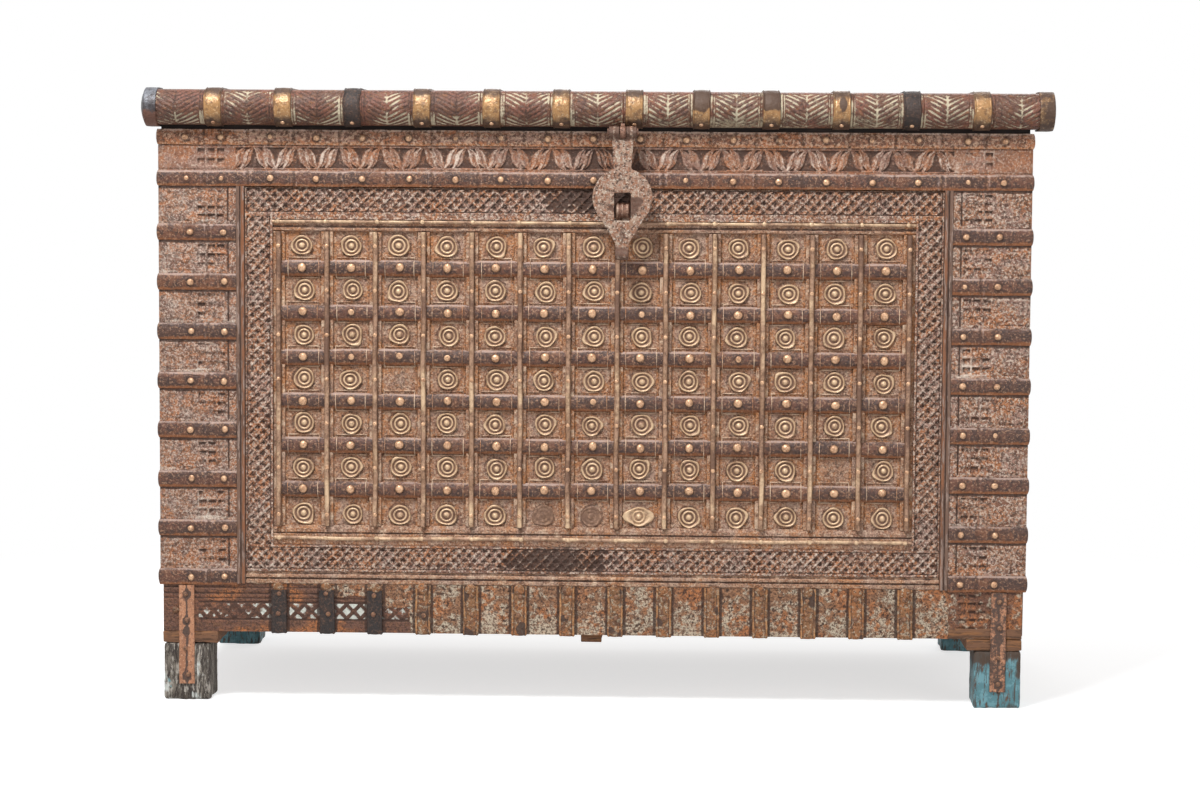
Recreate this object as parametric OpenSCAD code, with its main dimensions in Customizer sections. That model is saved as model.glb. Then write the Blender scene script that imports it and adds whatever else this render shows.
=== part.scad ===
// Antique dowry chest: carved hardwood box on four block legs, bound with iron, brass and copper,
// with a hinged lid and a hanging hasp. Millimetres, Z up, front towards -Y.

/* [Body] */
// Width of the body across its front
body_w = 1437; // [1340:1:1560]
// Depth of the body from its front face to its back face
body_d = 646; // [520:1:760]
// Height of the walls from their underside to their top edge
wall_h = 834; // [790:1:880]
// Thickness of the front stiles and rails
frame_t = 28; // [24:1:36]
// Thickness of the side planks
side_t = 24; // [18:1:32]
// Thickness of the back planks
back_t = 24; // [18:1:32]
// Thickness of the floor boards
floor_t = 18; // [12:1:26]
// Number of planks up each side and up the back
planks = 4; // [3:1:6]
// Number of boards across the floor
floor_planks = 5; // [3:1:8]

/* [Legs and bearers] */
// Width and depth of a square leg
leg_w = 78; // [60:1:95]
// Height of a leg
leg_h = 96; // [70:1:140]
// How far the legs and the bottom rail stand in from the body's sides
leg_inset = 5; // [2:1:12]
// Width of the bearer that lies along each pair of legs
bearer_w = 93; // [80:1:110]
// How far an end bearer stands out past its legs
bearer_out = 1.5; // [0:0.5:4]
// Thickness of the end bearers
bearer_t = 20; // [14:1:28]
// Width of the middle bearer
center_bearer_w = 35; // [24:1:50]
// Thickness of the middle bearer
center_bearer_t = 14; // [8:1:18]
// How far the middle bearer's ends stand in from the front and back faces
center_bearer_setback = 12; // [10:1:40]
// Length of the packing strip let into the bottom rail's right end
packing_l = 122; // [100:1:160]
// Thickness of the packing strip
packing_t = 17; // [10:1:24]

/* [Front frame] */
// Width of a front corner stile
stile_w = 128.5; // [110:0.5:140]
// Height of the frieze rail at the top
frieze_h = 93; // [84:1:104]
// Height of the bottom rail
bottom_rail_h = 81; // [72:1:92]
// Depth of the panel's face behind the frame's face
panel_recess = 12; // [10:1:16]
// Width of the dark bead beside each stile
bead_w = 15; // [11:1:18]
// How far the dark bead stands in front of the frame's face
bead_proud = 3; // [1:1:5]

/* [Lattice border] */
// Width of the carved board at each side of the panel
side_lattice_w = 45; // [38:1:50]
// Height of the carved board above the panel
top_lattice_h = 52; // [44:1:56]
// Height of the carved board below the panel
bottom_lattice_h = 44; // [38:1:50]
// Depth of the carved boards' faces behind the frame's face
lattice_recess = 2; // [1:0.5:4]
// How far the top board laps down less over the side boards than between them
lattice_step = 5; // [2:1:8]
// Open groove between the frieze rail and the top carved board
top_groove = 2; // [1:0.5:3]
// Height of the moulding under the lower carved board
foot_moulding_h = 21; // [14:1:26]
// Height of the plain sill above the lower carved board
sill_h = 33; // [26:1:38]
// Height of the dark moulding under the top carved board
head_moulding_h = 20; // [14:1:24]
// Depth of the sill's and the dark moulding's faces behind the frame's face
moulding_recess = 6; // [4:1:8]
// Radius of the brass rods on the sill and the dark moulding
frame_rod_r = 3.5; // [2.5:0.5:5]
// Height of the lower rod's centre above the sill's underside
sill_rod_up = 12; // [8:1:16]

/* [Studded panel] */
// Number of columns of bosses
columns = 13; // [9:1:15]
// Number of rows of short straps
strap_rows = 6; // [4:1:7]
// Width of a rib's core under its brass rod
rib_w = 8; // [6:1:10]
// Width of the low fillet on each side of a rib
fillet_w = 6; // [4:1:8]
// Depth of the ribs' faces behind the frame's face
rib_recess = 2; // [1:0.5:3]
// Depth of the fillets' faces behind the frame's face
fillet_recess = 7; // [5:1:9]
// Height of a short strap
panel_strap_h = 26; // [20:1:30]
// Depth of the short straps' faces behind the frame's face
panel_strap_recess = 3; // [2:0.5:5]
// Radius of a ring boss
boss_r = 17.5; // [13:0.5:19]
// Height of a ring boss's rings above the panel
boss_h = 4; // [3:0.5:6]
// How far the lowest row of bosses sits below the middle of its field
low_boss_drop = 5; // [0:1:6]
// Half the length of the leaf boss
leaf_boss_l = 27; // [22:1:28]

/* [Straps and nails] */
// Height of a corner strap
corner_strap_h = 27; // [20:1:32]
// Number of straps up each front corner
corner_straps = 8; // [5:1:9]
// Number of straps up each back corner
rear_straps = 4; // [2:1:6]
// How far the straps stand in front of the wood
strap_t = 3; // [2:0.5:4]
// Length of a strap's return round a corner
strap_return = 110; // [60:5:160]
// Height of the lowest corner strap's centre above the bottom rail
first_strap_up = 11; // [4:1:30]
// Height of the top corner strap's centre below the frieze rail
top_strap_down = 76; // [50:1:90]
// Height of the two straps along the frieze
frieze_strap_h = 25; // [20:1:28]
// Width of an upright strap on the bottom rail
rail_strap_w = 26; // [18:1:32]
// Number of black iron straps at the rail's left end
iron_rail_straps = 3; // [1:1:5]
// Height of the black iron straps above the wall's underside
iron_strap_h = 71; // [50:1:78]
// How far an upright strap's foot is bent under the rail
strap_lip = 8; // [4:1:9]
// Width of the copper strap down each front leg
leg_strap_w = 26; // [18:1:34]
// Height of the copper straps' lower ends above the floor
leg_strap_up = 28; // [15:1:50]
// Radius of the nails in the panel straps
panel_nail_r = 7; // [5:0.5:8.5]
// Radius of the nails in the corner straps and the rail's straps
strap_nail_r = 6; // [4:0.5:7]
// Radius of the nails in the frieze straps
frieze_nail_r = 5; // [3.5:0.5:6]
// Number of nails along each frieze strap between the dark beads
frieze_nail_count = 15; // [9:2:19]
// Distance of the frieze's last inner nails from the dark beads
frieze_nail_in = 43; // [30:1:60]
// Distance of the outer nails over a stile from the body's side, on the frieze straps
frieze_outer_nail_in = 46.5; // [30:0.5:60]
// Distance of the inner nails over a stile from the body's side, on the frieze straps
frieze_inner_nail_in = 105.5; // [80:0.5:112]
// Distance of a corner strap's outer nail from the body's side
outer_nail_in = 53.5; // [30:0.5:60]
// Distance of a corner strap's inner nail from the body's side
inner_nail_in = 108.5; // [80:0.5:112]
// Distance of a return's nail from the end of its strap
return_nail_in = 20; // [12:1:30]
// Height of the lower nail in an upright rail strap above the wall's underside
low_rail_nail_up = 31; // [15:1:35]
// Height of the upper nail in an upright rail strap above the wall's underside
high_rail_nail_up = 63; // [50:1:66]
// Distance of the leg strap's end nails from its ends
leg_nail_in = 14; // [8:1:24]
// Radius of the small nails in the rib rods and the lid's bands
small_nail_r = 3.5; // [2.5:0.5:4]
// Height of the domes of the nails in the panel straps
panel_nail_h = 4.5; // [2.5:0.5:5]
// Height of the domes of the nails in the other straps
nail_h = 4; // [2.5:0.5:5]
// Height of the domes of the small nails
small_nail_h = 2; // [1.5:0.5:3]
// Radius of a nail's shank
shank_r = 1.6; // [1:0.1:2.2]
// Depth to which a nail's shank is driven
shank_l = 14; // [8:1:18]

/* [Lid] */
// How far the lid would stand out past each side of the body if it sat in the middle
lid_overhang = 29; // [22:0.5:45]
// How far the lid sits to the right of the body's centre
lid_shift = 4.5; // [0:0.5:8]
// Thickness of the round-nosed front plank
roll_d = 58; // [50:1:70]
// How far the front plank's nose stands in front of the body
roll_reach = 38; // [32:1:44]
// Open gap between the front plank and the body's top edge
roll_gap = 7; // [5:0.5:10]
// Depth of the front plank behind the body's front face
roll_back = 34; // [32:1:60]
// Thickness of the lid's top board
lid_board_t = 32; // [22:1:40]
// How far the lid's rails stand in from the body's front and sides
lid_rail_inset = 5; // [4.7:0.1:12]
// Width of the rails under the lid
lid_rail_w = 30; // [22:1:44]
// How far the top board stands in from the front plank's ends
board_inset = 8; // [4:1:20]
// Number of bands round the lid
bands = 12; // [8:1:13]
// Place of the first dark iron band, counted from the left
left_iron_band = 3; // [1:1:4]
// Place of the second dark iron band, counted from the right
right_iron_band = 2; // [1:1:4]
// Distance of the outer bands' centres from the lid's ends
first_band_in = 120.5; // [80:0.5:130]
// Width of a band
band_w = 28; // [20:1:32]
// Thickness of a band and of an end cap
band_t = 3; // [2:0.5:3.5]
// How far a band runs in under the front plank
band_under = 12; // [6:1:24]
// Extra distance to the right of the band beside the hasp
band_jog = 5; // [4.5:0.5:8]
// How far the left end cap's end is domed
left_cap_dome = 8; // [3:0.5:10]
// How far the right end cap's end is domed
right_cap_dome = 4; // [3:0.5:10]

/* [Hasp and staple] */
// Distance of the hasp to the right of the body's centre
hasp_x = 48; // [44:1:52]
// Distance of the hasp's pin in front of the body
hasp_reach = 33; // [32:0.5:36]
// Distance of the hasp's pin below the lid's front plank
hasp_drop = 8.5; // [7.5:0.5:12]
// Radius of the hasp's pin
hasp_pin_r = 4; // [3:0.5:5]
// Outer radius of the hasp's knuckles
knuckle_r = 10; // [8:0.5:10.5]
// Length of the hasp's three knuckles together
knuckle_l = 46; // [40:1:54]
// Length of the middle knuckle
eye_w = 9.5; // [8:0.5:12]
// Thickness of the hasp plate
hasp_t = 5; // [4:0.5:6]
// Half the width of the plate's round part
plate_r = 49; // [40:1:52]
// Distance of the round part's centre below the pin
plate_drop = 106.5; // [95:0.5:115]
// Width of the plate's neck at the top
neck_top_w = 36; // [28:1:40]
// Width of the plate's neck where it meets the round part
neck_low_w = 28; // [20:1:32]
// Width of the plate's tail
tail_w = 22; // [16:1:28]
// Distance of the tail's curl below the pin
tail_drop = 199.5; // [185:0.5:205]
// Radius of the curl at the tail's end
curl_r = 8.75; // [6:0.25:10]
// How far the curl's back stands in front of the plate's back
curl_set = 0.5; // [0.3:0.1:1]
// Distance of the slot's centre below the pin
slot_drop = 121; // [118:0.5:124]
// Width of the slot
slot_w = 27; // [25:0.5:30]
// Height of the slot
slot_h = 45; // [38:1:50]
// Width of the staple
staple_w = 24; // [18:0.5:24]
// Height of the staple, which is also the roundness of its nose
staple_h = 26; // [22:1:28]
// Height of the staple's underside above the slot's lower edge
staple_up = 3; // [2.5:0.5:6]
// Gap between the staple's nose and the hanging plate
nose_gap = 1.5; // [1:0.5:3]
// Radius of the padlock hole through the staple
padlock_r = 5; // [3.5:0.5:5.5]
// Metal in front of the padlock hole
nose_wall = 3.5; // [3:0.5:5]

/* [Hinges] */
// Number of hinges at the back
hinges = 3; // [2:1:4]
// Distance between hinges
hinge_pitch = 460; // [300:5:480]
// Length of a hinge's barrel, which is also the width of its leaves
hinge_w = 60; // [44:1:80]
// Outer radius of a hinge's barrel
barrel_r = 8; // [6.5:0.5:10]
// Radius of a hinge pin
hinge_pin_r = 4; // [3:0.5:5]
// Thickness of a hinge leaf
leaf_t = 4; // [3:0.5:5]
// Length of the leaf on the back
back_leaf_l = 110; // [60:5:160]
// Length of the leaf on the lid
lid_leaf_l = 56; // [40:1:62]

/* [Hidden] */
$fn = 48;
// Facets round the large, flat curve of an end cap's domed end
ball_fn = 240;

// Running clearance round a pin
run_gap = 0.05;
// Clearance between faces that move past each other
side_gap = 0.3;
// Gap between a knuckle and the plate beside it, and between a leg strap and the strap above it
rim_gap = 1;
// Overlap by which the parts of one solid are joined
join = 1;
// How far a cutting shape runs past the face that it cuts
over = 1;

// Heights above the floor
wall_z = leg_h + bearer_t;
top_z = wall_z + wall_h;
frieze_z = top_z - frieze_h;
opening_z = wall_z + bottom_rail_h;
lower_lattice_z = opening_z + foot_moulding_h;
sill_z = lower_lattice_z + bottom_lattice_h;
field_z = sill_z + sill_h;
upper_lattice_top = frieze_z - top_groove;
upper_lattice_z = upper_lattice_top - top_lattice_h;
field_top = upper_lattice_z - head_moulding_h;

// Half widths across the front
half_w = body_w / 2;
leg_out = half_w - leg_inset;
stile_in = half_w - stile_w;
lattice_out = stile_in - bead_w;
field_half = lattice_out - side_lattice_w;

// Ribs, fields and bosses
outer_rib = field_half - rib_w / 2 - fillet_w;
rib_pitch = 2 * outer_rib / columns;
field_h = (field_top - field_z - strap_rows * panel_strap_h) / (strap_rows + 1);
row_pitch = field_h + panel_strap_h;
function rib_x(i) = -outer_rib + i * rib_pitch;
function column_x(i) = -outer_rib + (i + 0.5) * rib_pitch;
function strap_z(i) = field_z + field_h + i * row_pitch + panel_strap_h / 2;
function boss_z(i) = field_z + field_h / 2 + i * row_pitch - (i == 0 ? low_boss_drop : 0);

rib_nail_sunk = 0.5;
rib_nail_l = 8;

// Places, as column and row, where a boss has been lost, and where the leaf boss replaces one
lost_bosses = [[2, 3], [11, 1], [5, 0], [6, 0]];
leaf_place = [7, 0];

// Corner straps
corner_first = opening_z + first_strap_up;
corner_pitch = (frieze_z - top_strap_down - corner_first) / (corner_straps - 1);
function corner_strap_z(i) = corner_first + i * corner_pitch;
rear_pitch = (frieze_z - top_strap_down - corner_first) / (rear_straps - 1);
function rear_strap_z(i) = corner_first + i * rear_pitch;
upper_strap_z = top_z - frieze_strap_h / 2;
lower_strap_z = frieze_z + frieze_strap_h / 2;
return_run = strap_return - return_nail_in;
leg_strap_x = leg_out - leg_w / 2;
leg_strap_top = corner_first - corner_strap_h / 2 - rim_gap;

// Nails along the frieze straps: a row over the panel and two over each stile
frieze_nail_reach = lattice_out - frieze_nail_in;
frieze_nail_pitch = 2 * frieze_nail_reach / (frieze_nail_count - 1);
frieze_nail_x = concat(
    [for (i = [0 : frieze_nail_count - 1]) i * frieze_nail_pitch - frieze_nail_reach],
    [for (side = [-1, 1], d = [frieze_outer_nail_in, frieze_inner_nail_in])
        side * (half_w - d)]);

// Nails up each leg strap
leg_nails = 4;

// Lid
lid_half = half_w + lid_overhang;
roll_r = roll_d / 2;
roll_y = roll_r - roll_reach;
roll_bottom = top_z + roll_gap;
roll_z = roll_bottom + roll_r;
lid_top = roll_bottom + roll_d;
plank_left = -lid_half + left_cap_dome + band_t;
plank_right = lid_half - right_cap_dome - band_t;
lid_board_z = lid_top - lid_board_t;
lid_rail_out = half_w - lid_rail_inset;
cap_gap = 1.5;
cap_l = lid_overhang - lid_shift + lid_rail_inset - cap_gap;
band_pitch = 2 * (lid_half - first_band_in) / (bands - 1);
jog_band = floor(bands / 2);
band_nail_turn = 142;
lid_nail_in = 30;
iron_bands = [left_iron_band - 1, bands - right_iron_band];
function band_x(i) = (i - (bands - 1) / 2) * band_pitch + (i == jog_band ? band_jog : 0);
function is_iron(i) = i == iron_bands[0] || i == iron_bands[1];

// Hasp and staple, from the body's centre and front face
pin_z = roll_bottom - hasp_drop;
pin_y = -hasp_reach;
plate_back = pin_y + hasp_t / 2;
eye_gap = 0.25;
neck_lap = 4;
edge_lap = 1;
ear_in = eye_w / 2 + eye_gap;
slot_z = pin_z - slot_drop;
staple_z = slot_z - slot_h / 2 + staple_up + staple_h / 2;
nose_y = plate_back + nose_gap;
staple_nose_r = staple_h / 2;
padlock_y = nose_y + nose_wall + padlock_r;
tang_w = 12;
tang_h = 16;
pin_head = 2;
pin_head_out = 2.5;
eye_tang_w = 7;
eye_tang_t = 7;
eye_tang_l = 62;
eye_tang_tilt = 35;
mortise_w = 25;
mortise_h = 11;

// Hinges
hinge_y = body_d + barrel_r + side_gap;
hinge_x = [for (i = [0 : hinges - 1]) (i - (hinges - 1) / 2) * hinge_pitch];
lid_knuckle = hinge_w / 3;

// Places the body so that the whole part is centred over the origin
curl_y = plate_back - curl_set - curl_r;
front_reach = curl_y - curl_r;
back_reach = hinge_y + barrel_r;
module place_body() translate([-lid_shift, -(front_reach + back_reach) / 2, 0]) children();
module place_lid() translate([0, -(front_reach + back_reach) / 2, 0]) children();

// A board from its low corner to its high corner
module board(low, high) translate(low) cube(high - low);
// An upright strip of boards shared out evenly between two heights
module planks_up(low, high, count) {
    step = (high[2] - low[2]) / count;
    for (i = [0 : count - 1])
        board([low[0], low[1], low[2] + i * step], [high[0], high[1], low[2] + (i + 1) * step]);
}
// A flat shape drawn as depth and height, drawn out along X from x0 to x1
module along_x(x0, x1) translate([x0, 0, 0]) rotate([90, 0, 90]) linear_extrude(x1 - x0) children();
// Turns a piece that stands on Z = 0 to face the front
module face_front() rotate([90, 0, 0]) children();

// A domed nail with its shank, standing on Z = 0
module nail(r, h, depth = shank_l) {
    steps = 4;
    dome = [for (i = [0 : steps]) let (a = 90 * i / steps) [r * cos(a), h * sin(a)]];
    rotate_extrude() polygon(concat([[0, -depth], [shank_r, -depth], [shank_r, 0]], dome));
}
module front_nail(x, y, z, r, h, depth = shank_l) translate([x, y, z]) face_front() nail(r, h, depth);

// A strap round one front corner, from the stile's inner edge to its return on the side
module front_corner_strap(z, h, inner) {
    board([-half_w - strap_t, -strap_t, z - h / 2], [-inner, 0, z + h / 2]);
    board([-half_w - strap_t, -strap_t, z - h / 2], [-half_w, strap_return, z + h / 2]);
}
module rear_corner_strap(z, h) {
    board([-half_w - strap_t, body_d, z - h / 2], [-half_w + strap_return, body_d + strap_t, z + h / 2]);
    board([-half_w - strap_t, body_d - strap_return, z - h / 2], [-half_w, body_d + strap_t, z + h / 2]);
}
module leg(x_side, y) {
    place_body() board([x_side * leg_out - (x_side > 0 ? leg_w : 0), y, 0],
        [x_side * leg_out + (x_side > 0 ? 0 : leg_w), y + leg_w, leg_h]);
}
module left_front_leg() color("dimgray") leg(-1, 0);
module right_front_leg() color("mediumturquoise") leg(1, 0);
module left_rear_leg() color("cadetblue") leg(-1, body_d - leg_w);
module right_rear_leg() color("cadetblue") leg(1, body_d - leg_w);

module end_bearer() board([-leg_out - bearer_out, 0, leg_h],
    [-leg_out - bearer_out + bearer_w, body_d, wall_z]);
module left_bearer() color("peru") place_body() end_bearer();
module right_bearer() color("peru") place_body() mirror([1, 0, 0]) end_bearer();
module center_bearer() color("saddlebrown") place_body() board(
    [-center_bearer_w / 2, center_bearer_setback, wall_z - center_bearer_t],
    [center_bearer_w / 2, body_d - center_bearer_setback, wall_z]);
module packing() board([leg_out - packing_l, 0, wall_z], [leg_out, frame_t, wall_z + packing_t]);
module packing_strip() color("rosybrown") place_body() packing();

module floor_boards() color("sienna") place_body() {
    run = (body_d - frame_t - back_t) / floor_planks;
    for (i = [0 : floor_planks - 1])
        board([-half_w + side_t, frame_t + i * run, wall_z],
            [half_w - side_t, frame_t + (i + 1) * run, wall_z + floor_t]);
}
module side_panel() planks_up([-half_w, frame_t, wall_z],
    [-half_w + side_t, body_d - back_t, top_z], planks);
module left_side_panel() color("saddlebrown") place_body() side_panel();
module right_side_panel() color("saddlebrown") place_body() mirror([1, 0, 0]) side_panel();
module back_panel() color("saddlebrown") place_body()
    planks_up([-half_w, body_d - back_t, wall_z], [half_w, body_d, top_z], planks);

module stile() board([-half_w, 0, opening_z], [-stile_in, frame_t, frieze_z]);
module left_stile() color("rosybrown") place_body() stile();
module right_stile() color("rosybrown") place_body() mirror([1, 0, 0]) stile();
module frieze_rail() color("rosybrown") place_body()
    board([-half_w, 0, frieze_z], [half_w, frame_t, top_z]);
module bottom_rail() color("sienna") place_body() difference() {
    board([-leg_out, 0, wall_z], [leg_out, frame_t, opening_z]);
    packing();
}
module staple_tang() board([hasp_x - tang_w / 2, lattice_recess, staple_z - tang_h / 2],
    [hasp_x + tang_w / 2, frame_t, staple_z + tang_h / 2]);
module front_panel() color("sienna") place_body() difference() {
    board([-stile_in, panel_recess, opening_z], [stile_in, frame_t, frieze_z]);
    staple_tang();
}
module side_beads() color("dimgray") place_body() for (side = [-1, 1])
    translate([side * (lattice_out + bead_w / 2), 0, opening_z]) linear_extrude(frieze_z - opening_z) {
        translate([0, bead_w / 2 - bead_proud]) circle(bead_w / 2);
        translate([-bead_w / 2, bead_w / 2 - bead_proud])
            square([bead_w, panel_recess + bead_proud - bead_w / 2]);
    }

module lattice_board(low_x, low_z, high_x, high_z)
    board([low_x, lattice_recess, low_z], [high_x, panel_recess, high_z]);
module upper_lattice_board() color("burlywood") place_body() difference() {
    union() {
        lattice_board(-field_half, upper_lattice_z, field_half, upper_lattice_top);
        lattice_board(-lattice_out, upper_lattice_z + lattice_step, lattice_out, upper_lattice_top);
    }
    staple_tang();
}
module lower_lattice_board() color("burlywood") place_body()
    lattice_board(-lattice_out, lower_lattice_z, lattice_out, sill_z);
module left_lattice_board() color("burlywood") place_body()
    lattice_board(-lattice_out, sill_z, -field_half, upper_lattice_z + lattice_step);
module right_lattice_board() color("burlywood") place_body()
    lattice_board(field_half, sill_z, lattice_out, upper_lattice_z + lattice_step);
module panel_mouldings() color("sienna") place_body() {
    board([-field_half, moulding_recess, field_top], [field_half, panel_recess, upper_lattice_z]);
    board([-field_half, moulding_recess, sill_z], [field_half, panel_recess, field_z]);
    board([-lattice_out, 0, opening_z], [lattice_out, panel_recess, lower_lattice_z]);
}
// A half-round rod with its flat at the back
module half_round(r) intersection() {
    circle(r);
    translate([-r, -r]) square([2 * r, r]);
}
module frame_rods() color("goldenrod") place_body()
    for (z = [upper_lattice_z - frame_rod_r, sill_z + sill_rod_up])
        translate([-field_half, moulding_recess, z]) rotate([0, 90, 0]) linear_extrude(2 * field_half)
            half_round(frame_rod_r);

module panel_ribs() color("sienna") place_body() for (i = [0 : columns]) {
    board([rib_x(i) - rib_w / 2, rib_recess, field_z], [rib_x(i) + rib_w / 2, panel_recess, field_top]);
    for (j = [0 : strap_rows]) {
        low = field_z + j * row_pitch;
        board([rib_x(i) - rib_w / 2 - fillet_w, fillet_recess, low],
            [rib_x(i) + rib_w / 2 + fillet_w, panel_recess, low + field_h]);
    }
}
module rib_rods() color("goldenrod") place_body() for (i = [0 : columns])
    translate([rib_x(i), rib_recess, field_z]) linear_extrude(field_top - field_z) half_round(rib_w / 2);
module rib_nails() color("gold") place_body() for (i = [0 : columns], j = [0 : strap_rows])
    front_nail(rib_x(i), rib_recess - rib_w / 2 + rib_nail_sunk, boss_z(j),
        small_nail_r, small_nail_h, rib_nail_l);
module panel_straps() color("#4a3230") place_body() for (i = [0 : columns - 1], j = [0 : strap_rows - 1])
    board([rib_x(i) + rib_w / 2, panel_strap_recess, strap_z(j) - panel_strap_h / 2],
        [rib_x(i + 1) - rib_w / 2, panel_recess, strap_z(j) + panel_strap_h / 2]);
module panel_nails() color("gold") place_body() for (i = [0 : columns - 1], j = [0 : strap_rows - 1])
    front_nail(column_x(i), panel_strap_recess, strap_z(j), panel_nail_r, panel_nail_h);

// Ring boss: a raised rim, a second ring inside it and a button at its centre
boss_base = 1;
rim_foot = 0.6;
inner_ring_r = 0.6;
button_r = 0.24;
boss_profile = [
    [0, 0], [boss_r, 0], [boss_r, boss_h * rim_foot], [boss_r * 0.94, boss_h], [boss_r * 0.84, boss_h],
    [boss_r * 0.75, boss_base], [boss_r * inner_ring_r, boss_base], [boss_r * 0.56, boss_h * 0.85],
    [boss_r * 0.47, boss_h * 0.85], [boss_r * 0.42, boss_base], [boss_r * 0.27, boss_base],
    [boss_r * button_r, boss_h * 0.9], [boss_r * 0.12, boss_h * 1.3], [0, boss_h * 1.35]];
function has_boss(i, j) = [i, j] != leaf_place && len([for (p = lost_bosses) if (p == [i, j]) 1]) == 0;
module ring_bosses() color("darkgoldenrod") place_body()
    for (i = [0 : columns - 1], j = [0 : strap_rows]) if (has_boss(i, j))
        translate([column_x(i), panel_recess, boss_z(j)]) face_front()
            rotate_extrude() polygon(boss_profile);
module leaf_boss() color("goldenrod") place_body()
    translate([column_x(leaf_place[0]), panel_recess, boss_z(leaf_place[1])]) face_front() {
        leaf_arc = (leaf_boss_l * leaf_boss_l + boss_r * boss_r) / (2 * boss_r);
        linear_extrude(boss_h * rim_foot) intersection() {
            translate([0, leaf_arc - boss_r]) circle(leaf_arc);
            translate([0, boss_r - leaf_arc]) circle(leaf_arc);
        }
        cylinder(h = boss_h, r = boss_r * inner_ring_r);
        cylinder(h = boss_h + boss_base, r = boss_r * button_r);
    }

module frieze_strap(z) place_body() for (side = [0, 1]) mirror([side, 0, 0])
    front_corner_strap(z, frieze_strap_h, 0);
module upper_frieze_strap() color("#5a3a32") frieze_strap(upper_strap_z);
module lower_frieze_strap() color("#5a3a32") frieze_strap(lower_strap_z);
module frieze_nails() color("gold") place_body() for (x = frieze_nail_x, z = [lower_strap_z, upper_strap_z])
    front_nail(x, -strap_t, z, frieze_nail_r, nail_h);
module corner_strap_set() for (i = [0 : corner_straps - 1])
    front_corner_strap(corner_strap_z(i), corner_strap_h, stile_in);
module left_corner_straps() color("#4a3230") place_body() corner_strap_set();
module right_corner_straps() color("#4a3230") place_body() mirror([1, 0, 0]) corner_strap_set();
module rear_corner_straps() color("#4a3230") place_body() for (side = [0, 1]) mirror([side, 0, 0])
    for (i = [0 : rear_straps - 1]) rear_corner_strap(rear_strap_z(i), corner_strap_h);
// Nails in the front straps, then in their returns on the sides, then in the back straps
module corner_nails() color("gold") place_body() for (side = [0, 1]) mirror([side, 0, 0]) {
    for (i = [0 : corner_straps - 1]) {
        for (d = [outer_nail_in, inner_nail_in])
            front_nail(-half_w + d, -strap_t, corner_strap_z(i), strap_nail_r, nail_h);
        translate([-half_w - strap_t, return_run, corner_strap_z(i)]) rotate([0, -90, 0])
            nail(strap_nail_r, nail_h);
    }
    for (i = [0 : rear_straps - 1]) {
        translate([-half_w + return_run, body_d + strap_t, rear_strap_z(i)]) rotate([-90, 0, 0])
            nail(strap_nail_r, nail_h);
        translate([-half_w - strap_t, body_d - return_run, rear_strap_z(i)]) rotate([0, -90, 0])
            nail(strap_nail_r, nail_h);
    }
}

// An upright strap on the bottom rail, with its foot bent under the rail
module rail_strap(i, top) {
    low_x = rib_x(i) - rail_strap_w / 2;
    high_x = rib_x(i) + rail_strap_w / 2;
    board([low_x, -strap_t, wall_z - strap_t], [high_x, 0, top]);
    board([low_x, -strap_t, wall_z - strap_t], [high_x, strap_lip, wall_z]);
}
module rail_iron_straps() color("#2a2626") place_body()
    for (i = [0 : iron_rail_straps - 1]) rail_strap(i, wall_z + iron_strap_h);
module rail_copper_straps() color("#a5603c") place_body()
    for (i = [iron_rail_straps : columns]) rail_strap(i, opening_z);
module leg_strap() board([-leg_strap_x - leg_strap_w / 2, -strap_t, leg_strap_up],
    [-leg_strap_x + leg_strap_w / 2, 0, leg_strap_top]);
module left_leg_strap() color("#b5734a") place_body() leg_strap();
module right_leg_strap() color("#b5734a") place_body() mirror([1, 0, 0]) leg_strap();
module rail_nails() color("gold") place_body() {
    for (i = [0 : columns], up = [low_rail_nail_up, high_rail_nail_up])
        front_nail(rib_x(i), -strap_t, wall_z + up, strap_nail_r, nail_h);
    nail_run = leg_strap_top - leg_strap_up - 2 * leg_nail_in;
    for (side = [-1, 1], i = [0 : leg_nails - 1])
        front_nail(side * leg_strap_x, -strap_t,
            leg_strap_up + leg_nail_in + i * nail_run / (leg_nails - 1), small_nail_r, small_nail_h);
}

// The staple: a block with a round nose and a padlock hole, held by a tang through the boards
module staple() color("dimgray") place_body() difference() {
    union() {
        along_x(hasp_x - staple_w / 2, hasp_x + staple_w / 2) {
            translate([nose_y + staple_nose_r, staple_z]) circle(staple_nose_r);
            translate([nose_y + staple_nose_r, staple_z - staple_nose_r])
                square([lattice_recess - nose_y - staple_nose_r, staple_h]);
        }
        staple_tang();
    }
    translate([hasp_x - staple_w, padlock_y, staple_z]) rotate([0, 90, 0])
        cylinder(h = 2 * staple_w, r = padlock_r);
}

// A hinge leaf with its knuckle or knuckles, drawn for the leaf that hangs down
module hinge_bore() translate([-hinge_w, hinge_y, top_z]) rotate([0, 90, 0])
    cylinder(h = 2 * hinge_w, r = hinge_pin_r + run_gap);
module barrel(x0, x1) translate([x0, hinge_y, top_z]) rotate([0, 90, 0])
    cylinder(h = x1 - x0, r = barrel_r);
module hinge_back_leaves() color("dimgray") place_body() for (x = hinge_x) translate([x, 0, 0])
    for (side = [0, 1]) mirror([side, 0, 0]) difference() {
        union() {
            barrel(lid_knuckle / 2 + side_gap, hinge_w / 2);
            board([lid_knuckle / 2 + side_gap, body_d, top_z - barrel_r - rim_gap - join],
                [hinge_w / 2, body_d + leaf_t, top_z]);
            board([0, body_d, top_z - back_leaf_l],
                [hinge_w / 2, body_d + leaf_t, top_z - barrel_r - rim_gap]);
        }
        hinge_bore();
    }
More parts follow.
